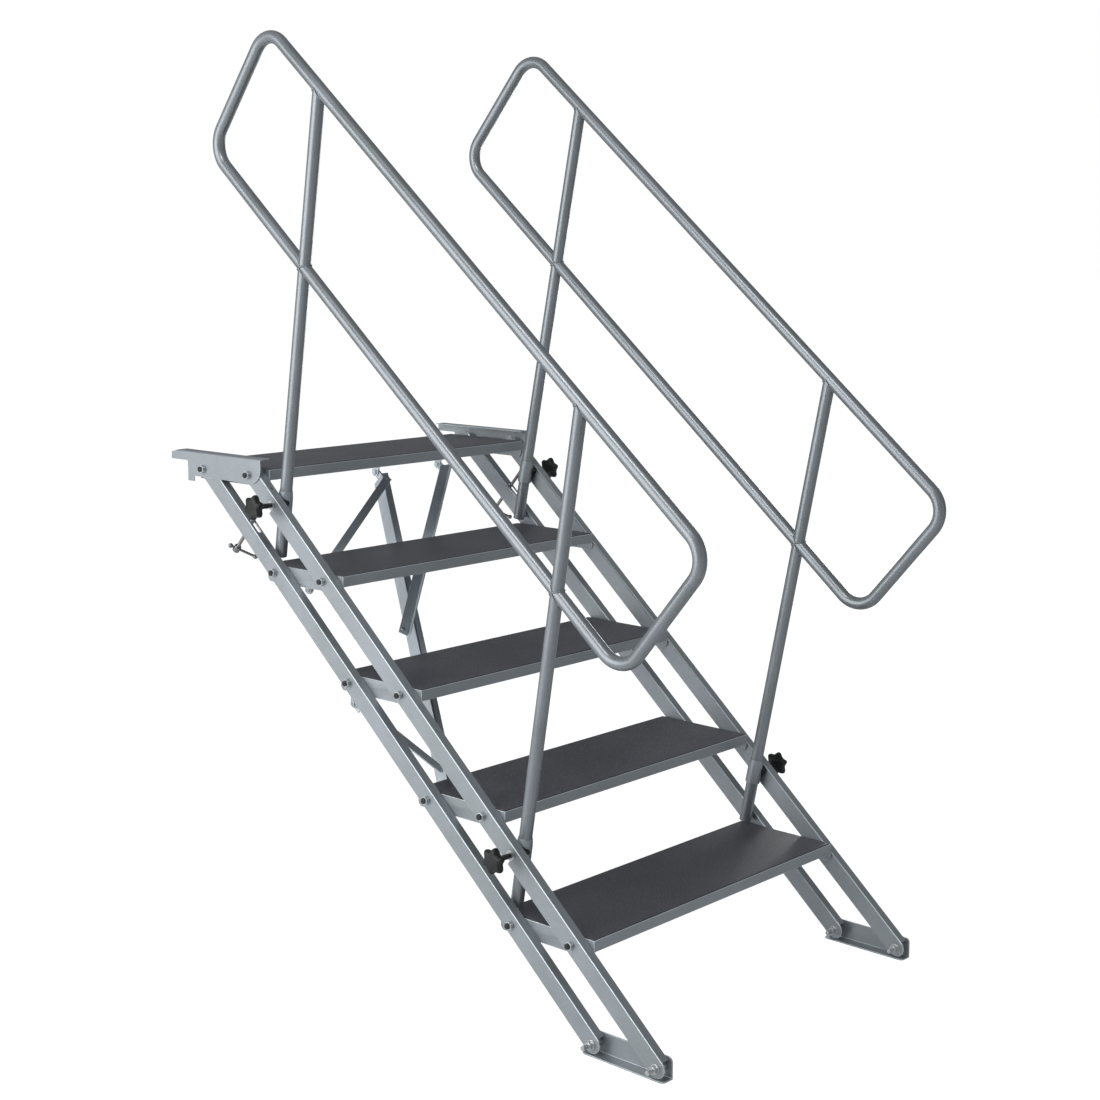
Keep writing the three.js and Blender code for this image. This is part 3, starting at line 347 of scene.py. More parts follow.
def zinc_colour(finish, dark=160, light=210):
    """Fine streaks across the stair between two greys."""
    streak = finish.noise(900, 3, 0.6, finish.stretched((0.2, 1.0, 1.0)))
    return finish.mixed(streak, tone(dark, (0.97, 1.0, 1.0)), tone(light, (0.99, 1.0, 1.0)))


def tread_coat():
    """The silver coat, and zinc where |x| passes the tread's ends."""
    coat = silver("tread_coat")
    outside = abs(coat.axis("X")).between(*PAST_TREAD)
    plain = coat.shader.inputs["Base Color"].links[0].from_socket
    colour = coat.mixed(outside, Wire(coat, plain), zinc_colour(coat))
    coat.set(Base_Color=colour, Metallic=outside * 0.45 + 0.45)
    return coat


def zinc(title, dark, light):
    """Zinc plating: fine streaks in colour and roughness."""
    metal = Finish(title, IOR=1.5)
    grain = metal.noise(700, 3, 0.6)
    colour = zinc_colour(metal, dark, light)
    metal.set(Base_Color=colour, Metallic=0.8, Roughness=grain * 0.18 + 0.24)
    metal.bumped(grain, 0.00005, 0.4)
    return metal


tread_paint = tread_coat()
bright, dull = zinc("bright_zinc", 178, 226), zinc("dull_zinc", 112, 162)
print("tread coat nodes:", len(tread_paint.tree.nodes))

# %% [markdown]
# The treads are boards faced with a dark film that is embossed with a fine mesh for grip. Real
# ridges a few millimetres apart would take millions of faces on five boards, so the emboss is a
# bump: two sets of waves that cross at an angle. Shoes polish its tops in patches, so a large
# soft noise makes the roughness vary. Small specks are painted pale into the colour as glints of
# light, and they are also a little shinier and raised in the bump.

# %% film-faced board
RIDGES = 1500.0  # radians per metre: a ridge every 4.2 millimetres


def grip_board():
    """Dark film: crossing ridges as bump, worn patches in roughness, pale specks as painted
    glints.
    """
    film = Finish("grip_film", IOR=1.5)
    x, y = film.axis("X"), film.axis("Y")
    ridge = ((x + y) * RIDGES).maths("SINE")
    cross = ((x - y) * RIDGES).maths("SINE")
    mesh = ridge.maths("MAXIMUM", cross) * 0.5 + 0.5
    worn = film.noise(5, 4, 0.6).between(0.25, 0.75)
    speck = film.noise(330, 3, 0.75).between(0.5, 0.7)
    base = film.mixed(worn, tone(70, (0.99, 0.99, 1.18)), tone(76, (1.0, 0.99, 1.16)))
    # painted glints: the pale specks lighten the colour
    colour = film.mixed(speck * 0.55, base, tone(146, (0.98, 0.99, 1.14)))
    film.set(Base_Color=colour, Roughness=worn * -0.04 + 0.4 - speck * 0.08)
    film.bumped(mesh + speck * 0.6, 0.00025, 0.6)
    return film


# %% [markdown]
# A sawn board shows its layers at the edge, under a thin grey paint. They are straight and level,
# so one wave along Z draws them all, and grain stretched along the board lies over them. Knobs and
# saddles are moulded in black plastic, which is never quite black: a faint bloom varies its
# colour, and the mould's fine grain is a bump.

# %% board edge and black plastic
LAYERS = 4400.0  # radians per metre: a layer every 1.4 millimetres


def board_edge():
    """The sealed edge of the plywood: grey paint over layers that still show."""
    wood = Finish("board_edge", Roughness=0.7)
    layer = (wood.axis("Z") * LAYERS).maths("SINE").between(-0.3, 0.3)
    grain = wood.noise(160, 3, 0.6, wood.stretched((0.3, 0.3, 2.0)))
    pale = wood.mixed(grain, tone(70, (1.03, 1.0, 0.96)), tone(92, (1.02, 1.0, 0.97)))
    wood.set(Base_Color=wood.mixed(layer * 0.4, pale, tone(52, (1.0, 0.98, 0.95))))
    wood.bumped(layer, 0.0001, 0.5)
    return wood


def moulded():
    """Black moulded plastic: spark-eroded grain as bump, a faint bloom in the colour."""
    plastic = Finish("moulded_black", IOR=1.46)
    bloom = plastic.noise(40, 3, 0.6).between(0.3, 0.75)
    grain = plastic.noise(2400, 2, 0.5)
    colour = plastic.mixed(bloom, tone(24, (0.95, 1.0, 0.98)), tone(40, (0.95, 1.02, 0.98)))
    plastic.set(Base_Color=colour, Roughness=grain * 0.12 + 0.4)
    plastic.bumped(grain, 0.00006, 0.5)
    return plastic


film, edge_wood, black = grip_board(), board_edge(), moulded()
print("materials so far:", len(bpy.data.materials))

# %% [markdown]
# ## Putting a piece in its place
# Each piece rides on the body of the solid that it stands for and takes its finish. The three
# calls could stand at each piece, but one helper for all of them means that none is forgotten.

# %% dress a piece
BODY_OF = {
    node: body for body, nodes in frame["record"]["behaviour"]["bodies"].items() for node in nodes
}
print("nodes on bodies:", len(BODY_OF))


def dress(thing, body, finish, *stands_for):
    """Gives a piece its finish, body and slot, and hides the solids that it stands for."""
    thing.data.materials.clear()
    thing.data.materials.append(finish.material)
    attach(thing, body)
    if stands_for:
        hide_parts(*stands_for)


# %% [markdown]
# ## Folded sheet
# Rails, treads, feet and brackets are cut and folded from sheet. A sharp edge in the model looks
# wrong, because every real edge is round enough to catch some light. Each piece could be modelled
# again with round folds, but its solid already has the right shape. So a copy of the solid is
# merged, its flat faces are joined, and a Bevel modifier rounds the edges by weight: 1 for a fold,
# which is bent round a radius, and a small share for a cut edge, which is only deburred. The
# bevels of coated pieces get a near-white coat: a painted highlight along every fold and edge.

# %% bevel weights
FOLD = 0.0032  # a fold's bevel
MERGED, FLAT_DEGREES, SMOOTH_DEGREES, CORNER_DEGREES = 8e-6, 0.4, 35, 50
SHORT_EDGE, SHORT_FOLD = 0.0015, 0.01  # shorter edges get no bevel, and no fold


def corners_of(mesh):
    """Every corner's place, and the two corners of every edge, as arrays."""
    spots = np.empty(len(mesh.vertices) * 3)
    mesh.vertices.foreach_get("co", spots)
    pairs = np.empty(len(mesh.edges) * 2, int)
    mesh.edges.foreach_get("vertices", pairs)
    return spots.reshape(-1, 3), pairs.reshape(-1, 2)


def weigh(mesh, deburr, fold):
    """Bevel weight of each edge: 0 if flat, deburr if sharp, 1 where fold says so."""
    spots, pairs = corners_of(mesh)
    ends = spots[pairs]
    work = bmesh.new()
    work.from_mesh(mesh)
    angle = [e.calc_face_angle(0.0) if len(e.link_faces) == 2 else 0.0 for e in work.edges]
    work.free()
    sharp = np.array(angle) > math.radians(CORNER_DEGREES)
    length = np.linalg.norm(ends[:, 1] - ends[:, 0], axis=1)
    weight = np.where(sharp & (length > SHORT_EDGE), deburr, 0.0)
    if fold is not None:
        weight[sharp & fold(ends.mean(1)) & (length > SHORT_FOLD)] = 1.0
    layer = mesh.attributes.new("bevel_weight_edge", "FLOAT", "EDGE")
    layer.data.foreach_set("value", weight.astype(np.float32))


# %% a rounded copy of a solid
COATED = (paint, tread_paint, painted_light_brace, painted_light_short_brace)


def softened(node, finish, deburr=0.2, fold=None, width=FOLD):
    """A merged copy with weighted bevels; fold picks the bent edges from their midpoints."""
    mesh = frame["nodes"][node].data.copy()
    work = bmesh.new()
    work.from_mesh(mesh)
    bmesh.ops.remove_doubles(work, verts=work.verts, dist=MERGED)
    flat = math.radians(FLAT_DEGREES)
    bmesh.ops.dissolve_limit(work, angle_limit=flat, verts=work.verts, edges=work.edges)
    work.to_mesh(mesh)
    work.free()
    mesh.polygons.foreach_set("use_smooth", np.ones(len(mesh.polygons), bool))
    weigh(mesh, deburr, fold)
    mesh.set_sharp_from_angle(angle=math.radians(SMOOTH_DEGREES))
    thing = bpy.data.objects.new(node + "_rounded", mesh)
    bpy.context.scene.collection.objects.link(thing)
    bevel = thing.modifiers.new("rounding", "BEVEL")
    bevel.width, bevel.segments = width, 3
    bevel.limit_method = "WEIGHT"
    bevel.use_clamp_overlap = False
    bevel.harden_normals = True
    dress(thing, BODY_OF[node], finish, node)
    # coated pieces get the painted highlight on their bevel faces
    if finish in COATED:
        thing.data.materials.append(painted_edge_highlight.material)
        bevel.material = 1
    return thing


# %% rails, feet, hooks, treads and brackets
FOLD_OFF, NEAR = 0.022, 2e-4  # a rail's fold above its bolts, and how near an edge has to be


def rail_fold(web, start=0.0):
    """Picks the outer corner of a rail's angle section: x on the web's face, off at its top."""

    def pick(mid):
        y, z = mid[:, 1] - FOOT_Y - start, mid[:, 2] - FOOT_Z
        off = z * math.cos(SLOPE) - y * math.sin(SLOPE)
        return (abs(mid[:, 0] - web) < NEAR) & (abs(off - FOLD_OFF) < NEAR)

    return pick


for name, web in (("left", LEFT_WEB), ("right", RIGHT_WEB)):
    softened("rail_upper_" + name, paint, fold=rail_fold(web))
    softened("rail_lower_" + name, paint, fold=rail_fold(web, LINK))
    softened("foot_" + name, paint)
    softened("hook_bracket_" + name, paint)
    for end in ("front", "rear"):
        softened(f"foot_bolt_{end}_{name}", bright, 0.25)
for step in range(1, STEPS + 1):
    softened(f"tread_frame_{step}", tread_paint, 0.28)
# the bracing takes the lighter coat, painted light against the shade under the treads
for piece in ("bracket_top", "bracket_side", "bracket_low", "flat_upper", "flat_lower"):
    softened("brace_" + piece, painted_light_brace)
for piece in ("bolt_upper", "bolt_short"):
    softened("brace_" + piece, bright, 0.2)

# %% [markdown]
# ## Bracing
# Two steel angles cross behind the treads. They lie askew to the rails, so no single height picks
# out their folds. Each angle was laid along a line from the top tread's hinge, so the fold is the
# edge that lies on that line when it is seen square to the rails.

# %% the two bracing angles
TOP_ALONG, HINGE_OFF = RUN + 0.110, -0.1785
PIVOT = on_rails((0.0, TOP_ALONG, HINGE_OFF))[1:]
NEAR_BRACE = 3e-4


def brace_fold(top_x, low_x, low_along, off):
    """Picks an angle's long corner: edges on its line, side = 0, at its fold's height, off."""
    turn = math.atan2(top_x - low_x, -low_along)

    def pick(mid):
        y, z = mid[:, 1] - PIVOT[0], mid[:, 2] - PIVOT[1]
        along = y * math.cos(SLOPE) + z * math.sin(SLOPE)
        height = z * math.cos(SLOPE) - y * math.sin(SLOPE)
        side = (mid[:, 0] - top_x) * math.cos(turn) - along * math.sin(turn)
        return (abs(side) < NEAR_BRACE) & (abs(height - off) < NEAR_BRACE)

    return pick


# painted light: both angles take the lighter coats
softened("brace_angle_long", painted_light_brace, fold=brace_fold(0.140, -0.313, -3 * PITCH, 0.010))
softened("brace_angle_short", painted_light_short_brace, fold=brace_fold(0.386, -0.124, -0.499, 0.0103))
print("hinge of the bracing, y and z:", PIVOT.round(4))

# %% [markdown]
# ## Boards
# A board keeps its solid's shape with a hair of rounding. Its film covers the top, and the sides
# show the cut plywood. Two objects could share the work, but one board with two finishes, chosen
# for each face by its normal, has no seam.

# %% boards with their cut sides
def board(step):
    """A side face is one whose normal leans more than 60 degrees from upright."""
    thing = softened(f"tread_panel_{step}", film, 0.12)
    thing.data.materials.append(edge_wood.material)
    normal = np.empty(len(thing.data.polygons) * 3)
    thing.data.polygons.foreach_get("normal", normal)
    side = abs(normal.reshape(-1, 3)[:, 2]) < 0.5
    thing.data.polygons.foreach_set("material_index", side.astype(np.int32))
    return int(side.sum())


print("side faces of each board:", [board(step) for step in range(1, STEPS + 1)])

# %% [markdown]
# ## Handrails
# The handrail is one closed loop of bent tube. A curve object with a bevel depth would do, but
# its bends are hard to set exactly. Here the centre line is four quarter turns and four straight
# runs, and the tube is a circle carried along it: point = centre + radius * (outward * cos +
# sideways * sin).

# %% the loop's centre line
LOOP_LENGTH, LOOP_WIDTH, LOOP_BEND = 1.545, 0.3223, 0.058
LOOP_TILT = math.radians(-1.35)
LOOP_AHEAD, LOOP_ABOVE = 0.110, 0.6165
ALONG = np.array([0.0, math.cos(LOOP_TILT), math.sin(LOOP_TILT)])
ACROSS = np.array([0.0, -math.sin(LOOP_TILT), math.cos(LOOP_TILT)])
MIDDLE = np.array([0.0, -LOOP_AHEAD, LOOP_ABOVE])
SIDEWAYS = np.array([1.0, 0.0, 0.0])


def loop_line(steps=18, rows=26):
    """The line and its outward way: corner + bend * (cos, sin), then shares of each run."""
    half = np.array([LOOP_LENGTH, LOOP_WIDTH]) / 2 - LOOP_BEND
    corner = half * np.array([[1, 1], [-1, 1], [-1, -1], [1, -1]])
    angle = np.radians([0, 90, 180, 270])[:, None] + np.linspace(0, np.pi / 2, steps)
    flat = np.stack([np.cos(angle), np.sin(angle)], -1)
    spot = corner[:, None] + LOOP_BEND * flat
    share = np.linspace(0, 1, rows)[1:-1, None]
    run = spot[:, -1:] + share * (np.roll(spot[:, :1], -1, 0) - spot[:, -1:])
    still = np.broadcast_to(flat[:, -1:], run.shape)
    spot = np.concatenate([spot, run], 1).reshape(-1, 2)
    flat = np.concatenate([flat, still], 1).reshape(-1, 2)
    line = MIDDLE + spot[:, :1] * ALONG + spot[:, 1:] * ACROSS
    return line, flat[:, :1] * ALONG + flat[:, 1:] * ACROSS


def handrail_loop(name, out):
    """The tube's circle carried along the loop's line, with no ends."""
    line, outward_way = loop_line()
    sideways = np.broadcast_to(SIDEWAYS, line.shape)
    tube = swept(line, outward_way, sideways, TUBE, TUBE_SIDES)
    thing = made_of(f"rail_tube_{name}", (on_handrail(tube, out), True, True, False))
    dress(thing, f"handrail_{name}", tube_paint, f"handrail_loop_{name}")


# %% [markdown]
# Uprights and posts are straight tubes on one line. Where that line crosses a run of the loop the
# tubes are welded, and the seam is the curve in which two cylinders meet. A boolean could find it,
# but it also has a formula. For two equal radii R it is, at the angle t round the post, the height
# (R |cos t| + R cos t sin a) / cos a above the crossing, with a the angle by which the post is off
# square. The seam below the run has - R |cos t| instead. A thin bead is carried along that curve.

# %% posts and uprights
POST = np.array([0.0, math.sin(POST_ANGLE), math.cos(POST_ANGLE)])
FORE = np.array([0.0, math.cos(POST_ANGLE), -math.sin(POST_ANGLE)])
POST_FOOT = -0.121  # a post's lower end, from its stud


def on_post(stud, height):
    """A point of a post's line: the stud, then the post's way * height."""
    return np.array([0.0, stud - REAR_STUD, 0.0]) + POST * height


def run_height(stud, upper):
    """How far up its post the centre line of the loop's upper or lower run lies."""
    offset = LOOP_WIDTH / 2 if upper else -LOOP_WIDTH / 2
    return (offset + (MIDDLE - on_post(stud, 0)) @ ACROSS) / (POST @ ACROSS)


def pipe(stud, low, high, rim=0.0006):
    """A tube with rounded rims: outside, over the rim, inside and back, closed on itself."""
    inner = TUBE - TUBE_WALL
    profile = [(TUBE, height) for height in np.linspace(low + rim, high - rim, 24)] + [
        (TUBE - rim, high),
        (inner + rim, high),
        (inner, high - rim),
        (inner, low + rim),
        (inner + rim, low),
        (TUBE - rim, low),
    ]
    return turned(profile, TUBE_SIDES, on_post(stud, 0), POST, SIDEWAYS)


# %% weld seams
BEAD, BEAD_WAVE, BEAD_DROPS = 0.0021, 0.13, 42
KINK = 0.03  # rounds |cos t| where it turns


def seam(stud, upper, above):
    """The weld where post and run meet, rippled like laid drops of metal: radius + cos wave."""
    t = np.linspace(0, 2 * np.pi, 4 * BEAD_DROPS, endpoint=False)
    lean = FORE @ ACROSS
    rise = np.sqrt(np.cos(t) ** 2 + KINK) * (1 if above else -1) - np.cos(t) * lean
    height = run_height(stud, upper) + TUBE * rise / (POST @ ACROSS)
    radial = np.cos(t)[:, None] * FORE + np.sin(t)[:, None] * SIDEWAYS
    path = on_post(stud, 0) + height[:, None] * POST + (TUBE + 0.0002) * radial
    along = np.broadcast_to(POST, path.shape)
    size = BEAD * (1 + BEAD_WAVE * np.cos(BEAD_DROPS * t))
    return swept(path, radial, along, size, 10)


# %% both handrails
def handrail_legs(name, out):
    """An upright, a post and three weld seams at each end of a handrail."""
    for end, stud in STUDS.items():
        low, high = run_height(stud, False), run_height(stud, True)
        body, tag = f"handrail_{name}", f"{end}_{name}"
        parts = {"upright": pipe(stud, low, high), "post": pipe(stud, POST_FOOT, low)}
        for kind, grid in parts.items():
            thing = made_of(f"{kind}_tube_{tag}", (on_handrail(grid, out), True, True, False))
            dress(thing, body, tube_paint, f"handrail_{kind}_{tag}")
        welds = [seam(stud, False, False), seam(stud, False, True), seam(stud, True, False)]
        grids = [(on_handrail(w, out), True, True, False) for w in welds]
        dress(made_of(f"welds_{tag}", *grids, smooth_under=80), body, tube_paint)


for name, out in SIDES.items():
    handrail_loop(name, out)
    handrail_legs(name, out)
heights = {end: round(float(run_height(stud, True)), 4) for end, stud in STUDS.items()}
print("upper run above each stud, metres:", heights)

# %% [markdown]
# ## Clamps
# Each post slides in a steel sleeve with a black saddle behind it, and a lobed knob outside the
# rail pulls them together by a stud. Sleeve, stud and washer are round all over, so a lathe is the
# shortest way to make them: a short profile, turned about one line.

# %% sleeves, studs and washers
def clamp_root(end, out):
    """Where a stud crosses its handrail's plane, as (x, along, off)."""
    return np.array([out * HAND_X, STUDS[end], RAIL_MIDDLE])


def sleeve(end, name, out):
    """A lathe of (radius, height) pairs about the post, with an upper end that flares in."""
    bore, outer = 0.01385, 0.01645
    profile = [
        (bore, -0.0255),
        (bore + 0.0006, -0.026),
        (outer - 0.0007, -0.026),
        (outer, -0.0253),
        (outer, 0.012),
        (outer - 0.0002, 0.016),
        (outer - 0.0007, 0.022),
        (bore + 0.0007, 0.0295),
        (bore, 0.030),
    ]
    lean = out * SPLAY
    way = (
        math.cos(POST_ANGLE) * math.sin(lean),
        math.sin(POST_ANGLE),
        math.cos(POST_ANGLE) * math.cos(lean),
    )
    grid = turned(profile, TUBE_SIDES, clamp_root(end, out), way, SIDEWAYS)
    thing = made_of(f"sleeve_{end}_{name}", (on_rails(grid), True, True, False))
    dress(thing, "upper_rails", paint, f"clamp_sleeve_{end}_{name}")


def web_face(out):
    """How far from the handrail's plane the rail's outer face lies."""
    return (RIGHT_WEB - HAND_X) + (FLANGE if out < 0 else WALL)


def stud_and_washer(end, name, out):
    """Two lathes about the same line: a plain rod, and a ring that lies on the rail."""
    face = web_face(out) + 0.0003
    way = np.array([out, 0.0, 0.0])
    start = clamp_root(end, out)
    rod = turned([(0.005, 0.0155), (0.005, 0.086)], 24, start, way, (0, 1, 0))
    rim = [
        (0.0056, 0),
        (0.0106, 0),
        (0.011, 0.0004),
        (0.011, 0.0012),
        (0.0106, 0.0016),
        (0.0056, 0.0016),
    ]
    ring = turned([(r, h + face) for r, h in rim], 32, start, way, (0, 1, 0))
    grids = [(on_rails(rod), True, False, True), (on_rails(ring), True, True, False)]
    dress(made_of(f"stud_washer_{end}_{name}", *grids), "upper_rails", bright)


# %% [markdown]
# The knob has a round stem and a rim of six lobes. Six bumps could be joined to a disc, but one
# surface of two parameters has no joints: the angle t round the stud and the place v along the
# outline. Its radius is r(v) + lobe(v) * (cos 6t + 0.12 cos 12t), and lobe(v) is 0 at the stem, so
# the stem stays round while the rim waves.

# %% knobs
KNOB_FROM, KNOB_TO, KNOB_RIM, KNOB_LOBE = 0.076, 0.096, 0.0246, 0.0034
KNOB_STEM, KNOB_EDGE, LOBES, OVERTONE = 0.0125, 0.0085, 6, 0.12


def knob(end, name, out):
    """Columns round the stud, rows along the outline: stem, back, rounded rim, dished front."""
    start = web_face(out) + 0.0022
    bend = np.linspace(0, np.pi / 2, 7)
    radius = np.concatenate(
        [
            [0.0052, 0.0054, 0.0058, 0.0076, KNOB_STEM],
            KNOB_RIM - KNOB_EDGE + KNOB_EDGE * np.sin(bend),
            KNOB_RIM - KNOB_EDGE + KNOB_EDGE * np.cos(bend),
            [0.0145, 0.0125, 0.009, 0.006, 0.003],
        ]
    )
    height = np.concatenate(
        [
            [start, start + 0.0006, KNOB_FROM - 0.010, KNOB_FROM - 0.0016, KNOB_FROM],
            KNOB_FROM + 0.0006 + KNOB_EDGE * (1 - np.cos(bend)),
            KNOB_TO - 0.0008 - KNOB_EDGE * (1 - np.sin(bend)),
            KNOB_TO - np.array([0.0006, 0.0004, 0.0001, 0.0, 0.0]),
        ]
    )
    lobe = np.clip((radius - KNOB_STEM) / (KNOB_RIM - KNOB_STEM), 0, 1) ** 0.8 * KNOB_LOBE
    t = np.linspace(0, 2 * np.pi, 120, endpoint=False)
    wave = np.cos(LOBES * t) + OVERTONE * np.cos(2 * LOBES * t)
    r = radius[:, None] + lobe[:, None] * wave
    x = out * np.broadcast_to(height[:, None], r.shape)
    grid = clamp_root(end, out) + np.stack([x, r * np.cos(t), r * np.sin(t)], -1)
    thing = made_of(f"knob_{end}_{name}_lobed", (on_rails(grid), True, False, True))
    dress(thing, f"knob_{end}_{name}", black, f"clamp_knob_{end}_{name}")


# %% [markdown]
# The saddle is a small moulded block behind the sleeve, of which little shows. Its solid fills all
# the room that a clamp may take, so the rounded copy is drawn in round its stud, and its bore for
# the stud keeps its size.

# %% saddles, and all four clamps
SADDLE_SHARE, STUD_ROOM = 0.74, 0.009


def slim_saddle(end, name, out):
    """Points further than STUD_ROOM from the stud: centre + away * SADDLE_SHARE."""
    thing = softened(f"clamp_saddle_{end}_{name}", black, 0.4, width=0.003)
    centre = on_rails(clamp_root(end, out))[1:]
    spots = corners_of(thing.data)[0]
    away = spots[:, 1:] - centre
    reach = np.linalg.norm(away, axis=1, keepdims=True)
    spots[:, 1:] = centre + away * np.where(reach > STUD_ROOM, SADDLE_SHARE, 1.0)
    thing.data.vertices.foreach_set("co", spots.ravel())
    thing.data.update()


for name, out in SIDES.items():
    for end in STUDS:
        sleeve(end, name, out)
        stud_and_washer(end, name, out)
        knob(end, name, out)
        slim_saddle(end, name, out)
print("knob across its lobes, metres:", round(2 * (KNOB_RIM + KNOB_LOBE * (1 + OVERTONE)), 4))

# %% [markdown]
# ## Locking spindles
# A long spindle goes square through both rails of a side. A nut holds it at the upper rail, and a
# hub at its lower end carries a sliding bar with balled ends to turn it by hand. Both are lathe
# work on the real stair too, so here they are turned profiles, and the nut is one of six sides.

# %% spindles and their bars
SPINDLE_ALONG = RUN - 0.0635
HUB_LOW, HUB_TOP = -0.181, -0.165
BAR_TURN = math.radians(-43)
BALL, BAR_HALF, BAR_SHIFT = 0.0055, 0.030, 0.015


def spindle_x(name):
    """How far across the stair a side's spindle stands."""
    return {"left": LEFT_WEB, "right": RIGHT_WEB}[name] + 0.0115


def spindle(name):
    """Two lathes about one line: the rod with its hub, 32 sides, and the nut, 6 sides."""
    start, way = np.array([spindle_x(name), SPINDLE_ALONG, 0.0]), (0, 0, 1)
    rod = [
        (0.0066, HUB_LOW),
        (0.008, HUB_LOW + 0.0012),
        (0.008, HUB_TOP - 0.0012),
        (0.0066, HUB_TOP),
        (0.0042, HUB_TOP + 0.0008),
        (0.004, HUB_TOP + 0.0016),
        (0.004, 0.0199),
        (0.0034, 0.0205),
    ]
    nut = [(0.0061, 0.0127), (0.007, 0.0132), (0.007, 0.0182), (0.0061, 0.0187)]
    grids = [
        (on_rails(turned(profile, sides, start, way)), True, False, True)
        for profile, sides in ((rod, 32), (nut, 6))
    ]
    thing = made_of(f"spindle_{name}_turned", *grids)
    dress(thing, f"spindle_{name}", dull, f"lock_spindle_{name}")


def cross_bar(name):
    """A lathe about the bar: half a ball, radius = sin and height = cos, and its mirror image."""
    start = np.array([spindle_x(name), SPINDLE_ALONG, (HUB_LOW + HUB_TOP) / 2])
    ball = np.linspace(0.06, np.pi - 0.56, 12)
    half = np.stack([BALL * np.sin(ball), BAR_HALF + BALL * np.cos(ball)], -1)
    profile = np.concatenate([half, (half * [1, -1])[::-1]])[::-1] + [0, BAR_SHIFT]
    way = (math.cos(BAR_TURN), math.sin(BAR_TURN), 0)
    grid = turned(profile, 28, start, way, (0, 0, 1))
    thing = made_of(f"cross_bar_{name}_turned", (on_rails(grid), True, False, True))
    dress(thing, f"cross_bar_{name}", dull, f"lock_bar_{name}")


for name in SIDES:
    spindle(name)
    cross_bar(name)
print("cross bars, metres long:", 2 * (BAR_HALF + BALL))

# %% [markdown]
# ## Thread ends
# Each tread bolt ends in the dark plug of a lock nut. A black patch in the tread's finish would
# be flat, so a small domed cap covers the thread's end, one object for each tread.

# %% dark plugs on the lock nuts
PLATE_OUTSIDE = 0.4248  # outer faces of the hook plates and of the rails' webs, from the middle
WEB_OUTSIDE = {-1: 0.4215, 1: 0.4045}
NUT_HEIGHT = 0.0093


def plug_grids(step):
    """Caps at both bolts of both ends of a tread: a low dome 6.2 millimetres in radius."""
    along = (FIRST_SHARE + step) * PITCH
    y = FOOT_Y + along * math.cos(SLOPE)
    z = FOOT_Z + along * math.sin(SLOPE)
    profile = [(0.0062, 0), (0.0062, 0.0026), (0.0058, 0.0031), (0.0044, 0.0034)]
    for out in SIDES.values():
        face = PLATE_OUTSIDE if step == STEPS - 1 else WEB_OUTSIDE[out]
        for back in (0.0, LINK):
            start = (out * (face + NUT_HEIGHT), y + back, z)
            yield turned(profile, 20, start, (out, 0, 0), (0, 1, 0)), True, False, True


for step in range(STEPS):
    dress(made_of(f"bolt_plugs_{step + 1}", *plug_grids(step)), f"tread_{step + 1}", black)
print("plugs:", 4 * STEPS)

# %% [markdown]
# ## Floor and surroundings
# The photograph has a plain white ground with hardly a shadow. More light would whiten a grey
# floor but wash the stair out too. So the floor is a pale grey that glows only to the camera, and
# a little to mirroring surfaces, and some of it stays itself to keep a faint shadow. The world
# works in the same way: white to the camera, a calm grey to everything that it lights.

# %% floor
FLOOR_REACH, FLOOR_GLOW = 60.0, 1.235
GLOW_SHARE, MIRROR_SHARE = 0.8, 0.15


def stage_floor():
    """A flat square whose share of glow is 0.8 to the camera and 0.12 to mirroring surfaces."""
    corner = FLOOR_REACH * np.array([[-1, -1, 0], [1, -1, 0], [1, 1, 0], [-1, 1, 0]])
    mesh = bpy.data.meshes.new("studio_floor")
    mesh.from_pydata(corner.tolist(), [], [[0, 1, 2, 3]])
    thing = bpy.data.objects.new("studio_floor", mesh)
    bpy.context.scene.collection.objects.link(thing)
    ground = Finish("studio_floor", Roughness=0.9)
    ground.set(Base_Color=(0.84, 0.85, 0.86, 1.0))
    glow = ground.tree.nodes.new("ShaderNodeEmission")
    ways = ground.tree.nodes.new("ShaderNodeLightPath")
    blend = ground.tree.nodes.new("ShaderNodeMixShader")
    glow.inputs["Strength"].default_value = FLOOR_GLOW
    straight, mirrored = (
        Wire(ground, ways.outputs[f"Is {kind} Ray"]) for kind in ("Camera", "Glossy")
    )
    seen = straight.maths("MAXIMUM", mirrored * MIRROR_SHARE) * GLOW_SHARE
    links = ground.tree.links
    links.new(seen.socket, blend.inputs[0])
    links.new(ground.shader.outputs["BSDF"], blend.inputs[1])
    links.new(glow.outputs["Emission"], blend.inputs[2])
    links.new(blend.outputs["Shader"], ground.output.inputs["Surface"])
    mesh.materials.append(ground.material)


# %% world
WORLD_LIGHT = 0.24


def studio_world():
    """White for the camera, a calm grey for everything that it lights."""
    world = bpy.data.worlds.new("studio")
    world.use_nodes = True
    tree = world.node_tree
    tree.nodes.clear()
    output = tree.nodes.new("ShaderNodeOutputWorld")
    grey = tree.nodes.new("ShaderNodeBackground")
    white = tree.nodes.new("ShaderNodeBackground")
    ways = tree.nodes.new("ShaderNodeLightPath")
    either = tree.nodes.new("ShaderNodeMath")
    blend = tree.nodes.new("ShaderNodeMixShader")
    grey.inputs["Color"].default_value = (0.93, 0.96, 1.0, 1.0)
    grey.inputs["Strength"].default_value = WORLD_LIGHT
    white.inputs["Color"].default_value = (1.0, 1.0, 1.0, 1.0)
    white.inputs["Strength"].default_value = 1.0
    either.operation = "MAXIMUM"
    tree.links.new(ways.outputs["Is Camera Ray"], either.inputs[0])
    tree.links.new(ways.outputs["Is Transmission Ray"], either.inputs[1])
    tree.links.new(either.outputs[0], blend.inputs[0])
    tree.links.new(grey.outputs[0], blend.inputs[1])
    tree.links.new(white.outputs[0], blend.inputs[2])
    tree.links.new(blend.outputs[0], output.inputs["Surface"])
    bpy.context.scene.world = world


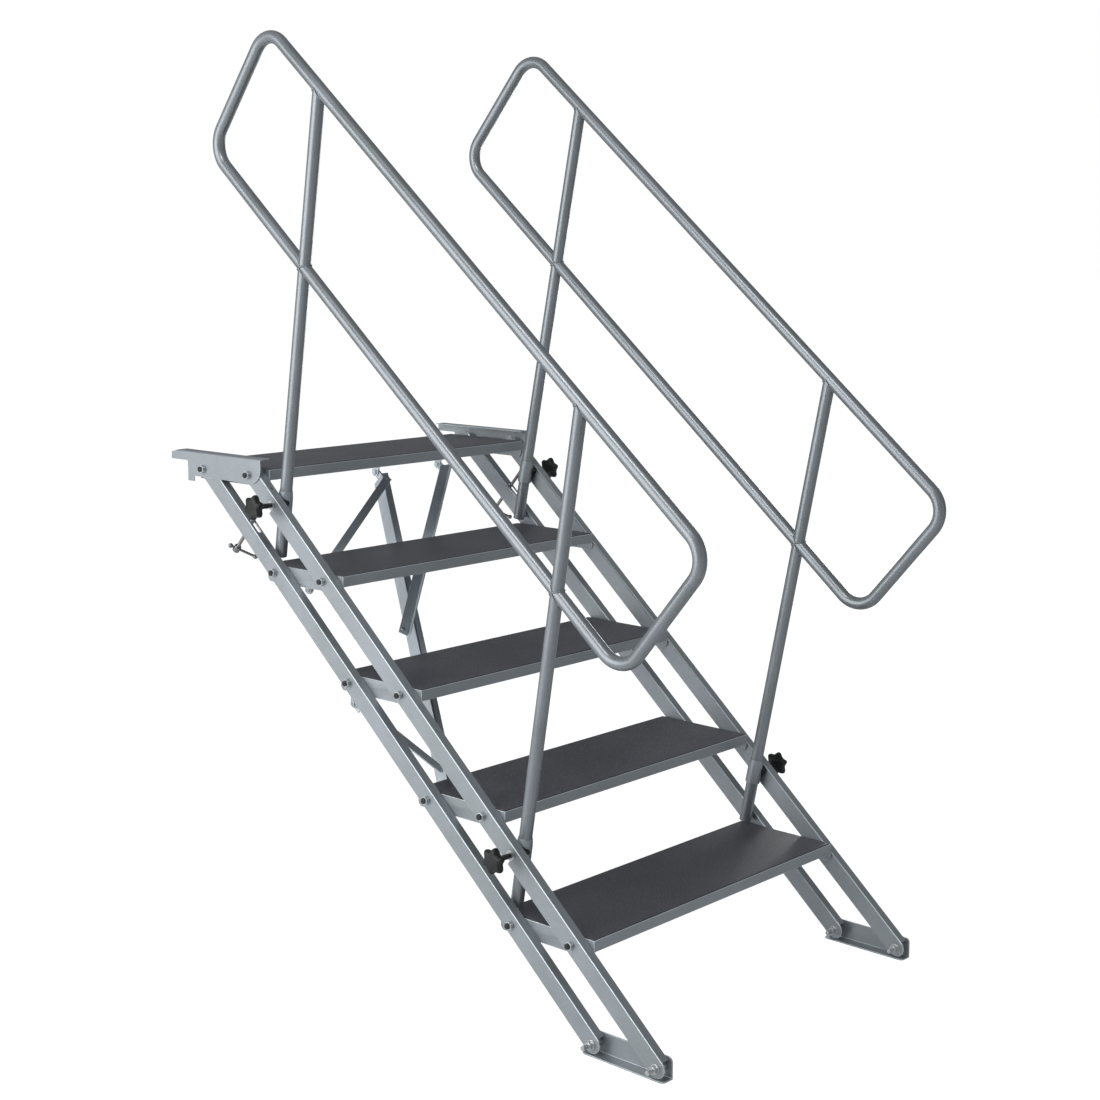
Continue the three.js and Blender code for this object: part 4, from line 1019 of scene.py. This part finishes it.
stage_floor()
studio_world()
bpy.context.scene.view_settings.view_transform = "Standard"
print("world light:", WORLD_LIGHT)

# %% [markdown]
# ## Light
# The photograph's light comes from the left: side faces are light, front faces darker, and the
# treads have a sheen that only a lamp behind the stair can give. One wide soft lamp at the left
# does most of the work. A small one high up draws lines along the tubes, a weak one in front
# opens the shadows, and a low one at the back right mirrors in the treads.

# %% lamps
def soft_lamp(title, place, aim, size, watts):
    """A square lamp at place, turned to aim."""
    data = bpy.data.lights.new(title, "AREA")
    data.shape, data.size, data.energy = "SQUARE", size, watts
    lamp = bpy.data.objects.new(title, data)
    bpy.context.scene.collection.objects.link(lamp)
    lamp.location = place
    lamp.rotation_mode = "QUATERNION"
    lamp.rotation_quaternion = (Vector(aim) - Vector(place)).to_track_quat("-Z", "Y")


soft_lamp("side_softbox", (-4.5, 1.6, 1.7), (0, 0, 0.8), 4.4, 184)
soft_lamp("front_fill", (0.6, -5.0, 1.6), (0, 0, 0.9), 2.4, 5)
soft_lamp("high_left", (-3.1, -1.0, 5.2), (0, 0, 0.9), 0.9, 60)
soft_lamp("rear_sheet", (5.2, 1.9, 0.9), (0.3, -0.4, 0.3), 1.2, 34)
print("lamps:", len(bpy.data.lights))

# %% [markdown]
# ## Camera
# The camera could be moved by eye until the picture fits. This one was solved from the straight
# edges of the photograph instead: it stands to the left of and before the stair, a little above
# its middle, and is not rolled.

# %% camera
WIDTH_PX, FOCAL_PX = 1100.0, 1886.2
CAMERA_AT, CAMERA_WAY = (-2.996, -2.7720, 1.5592), (0.72655, 0.66715, -0.16443)
lens = bpy.data.cameras.new("camera")
lens.sensor_width = 36.0
lens.lens = FOCAL_PX / WIDTH_PX * lens.sensor_width
camera = bpy.data.objects.new("camera", lens)
bpy.context.scene.collection.objects.link(camera)
camera.location = CAMERA_AT
camera.rotation_mode = "QUATERNION"
camera.rotation_quaternion = Vector(CAMERA_WAY).to_track_quat("-Z", "Y")
bpy.context.scene.camera = camera
print("lens, millimetres:", round(lens.lens, 2))
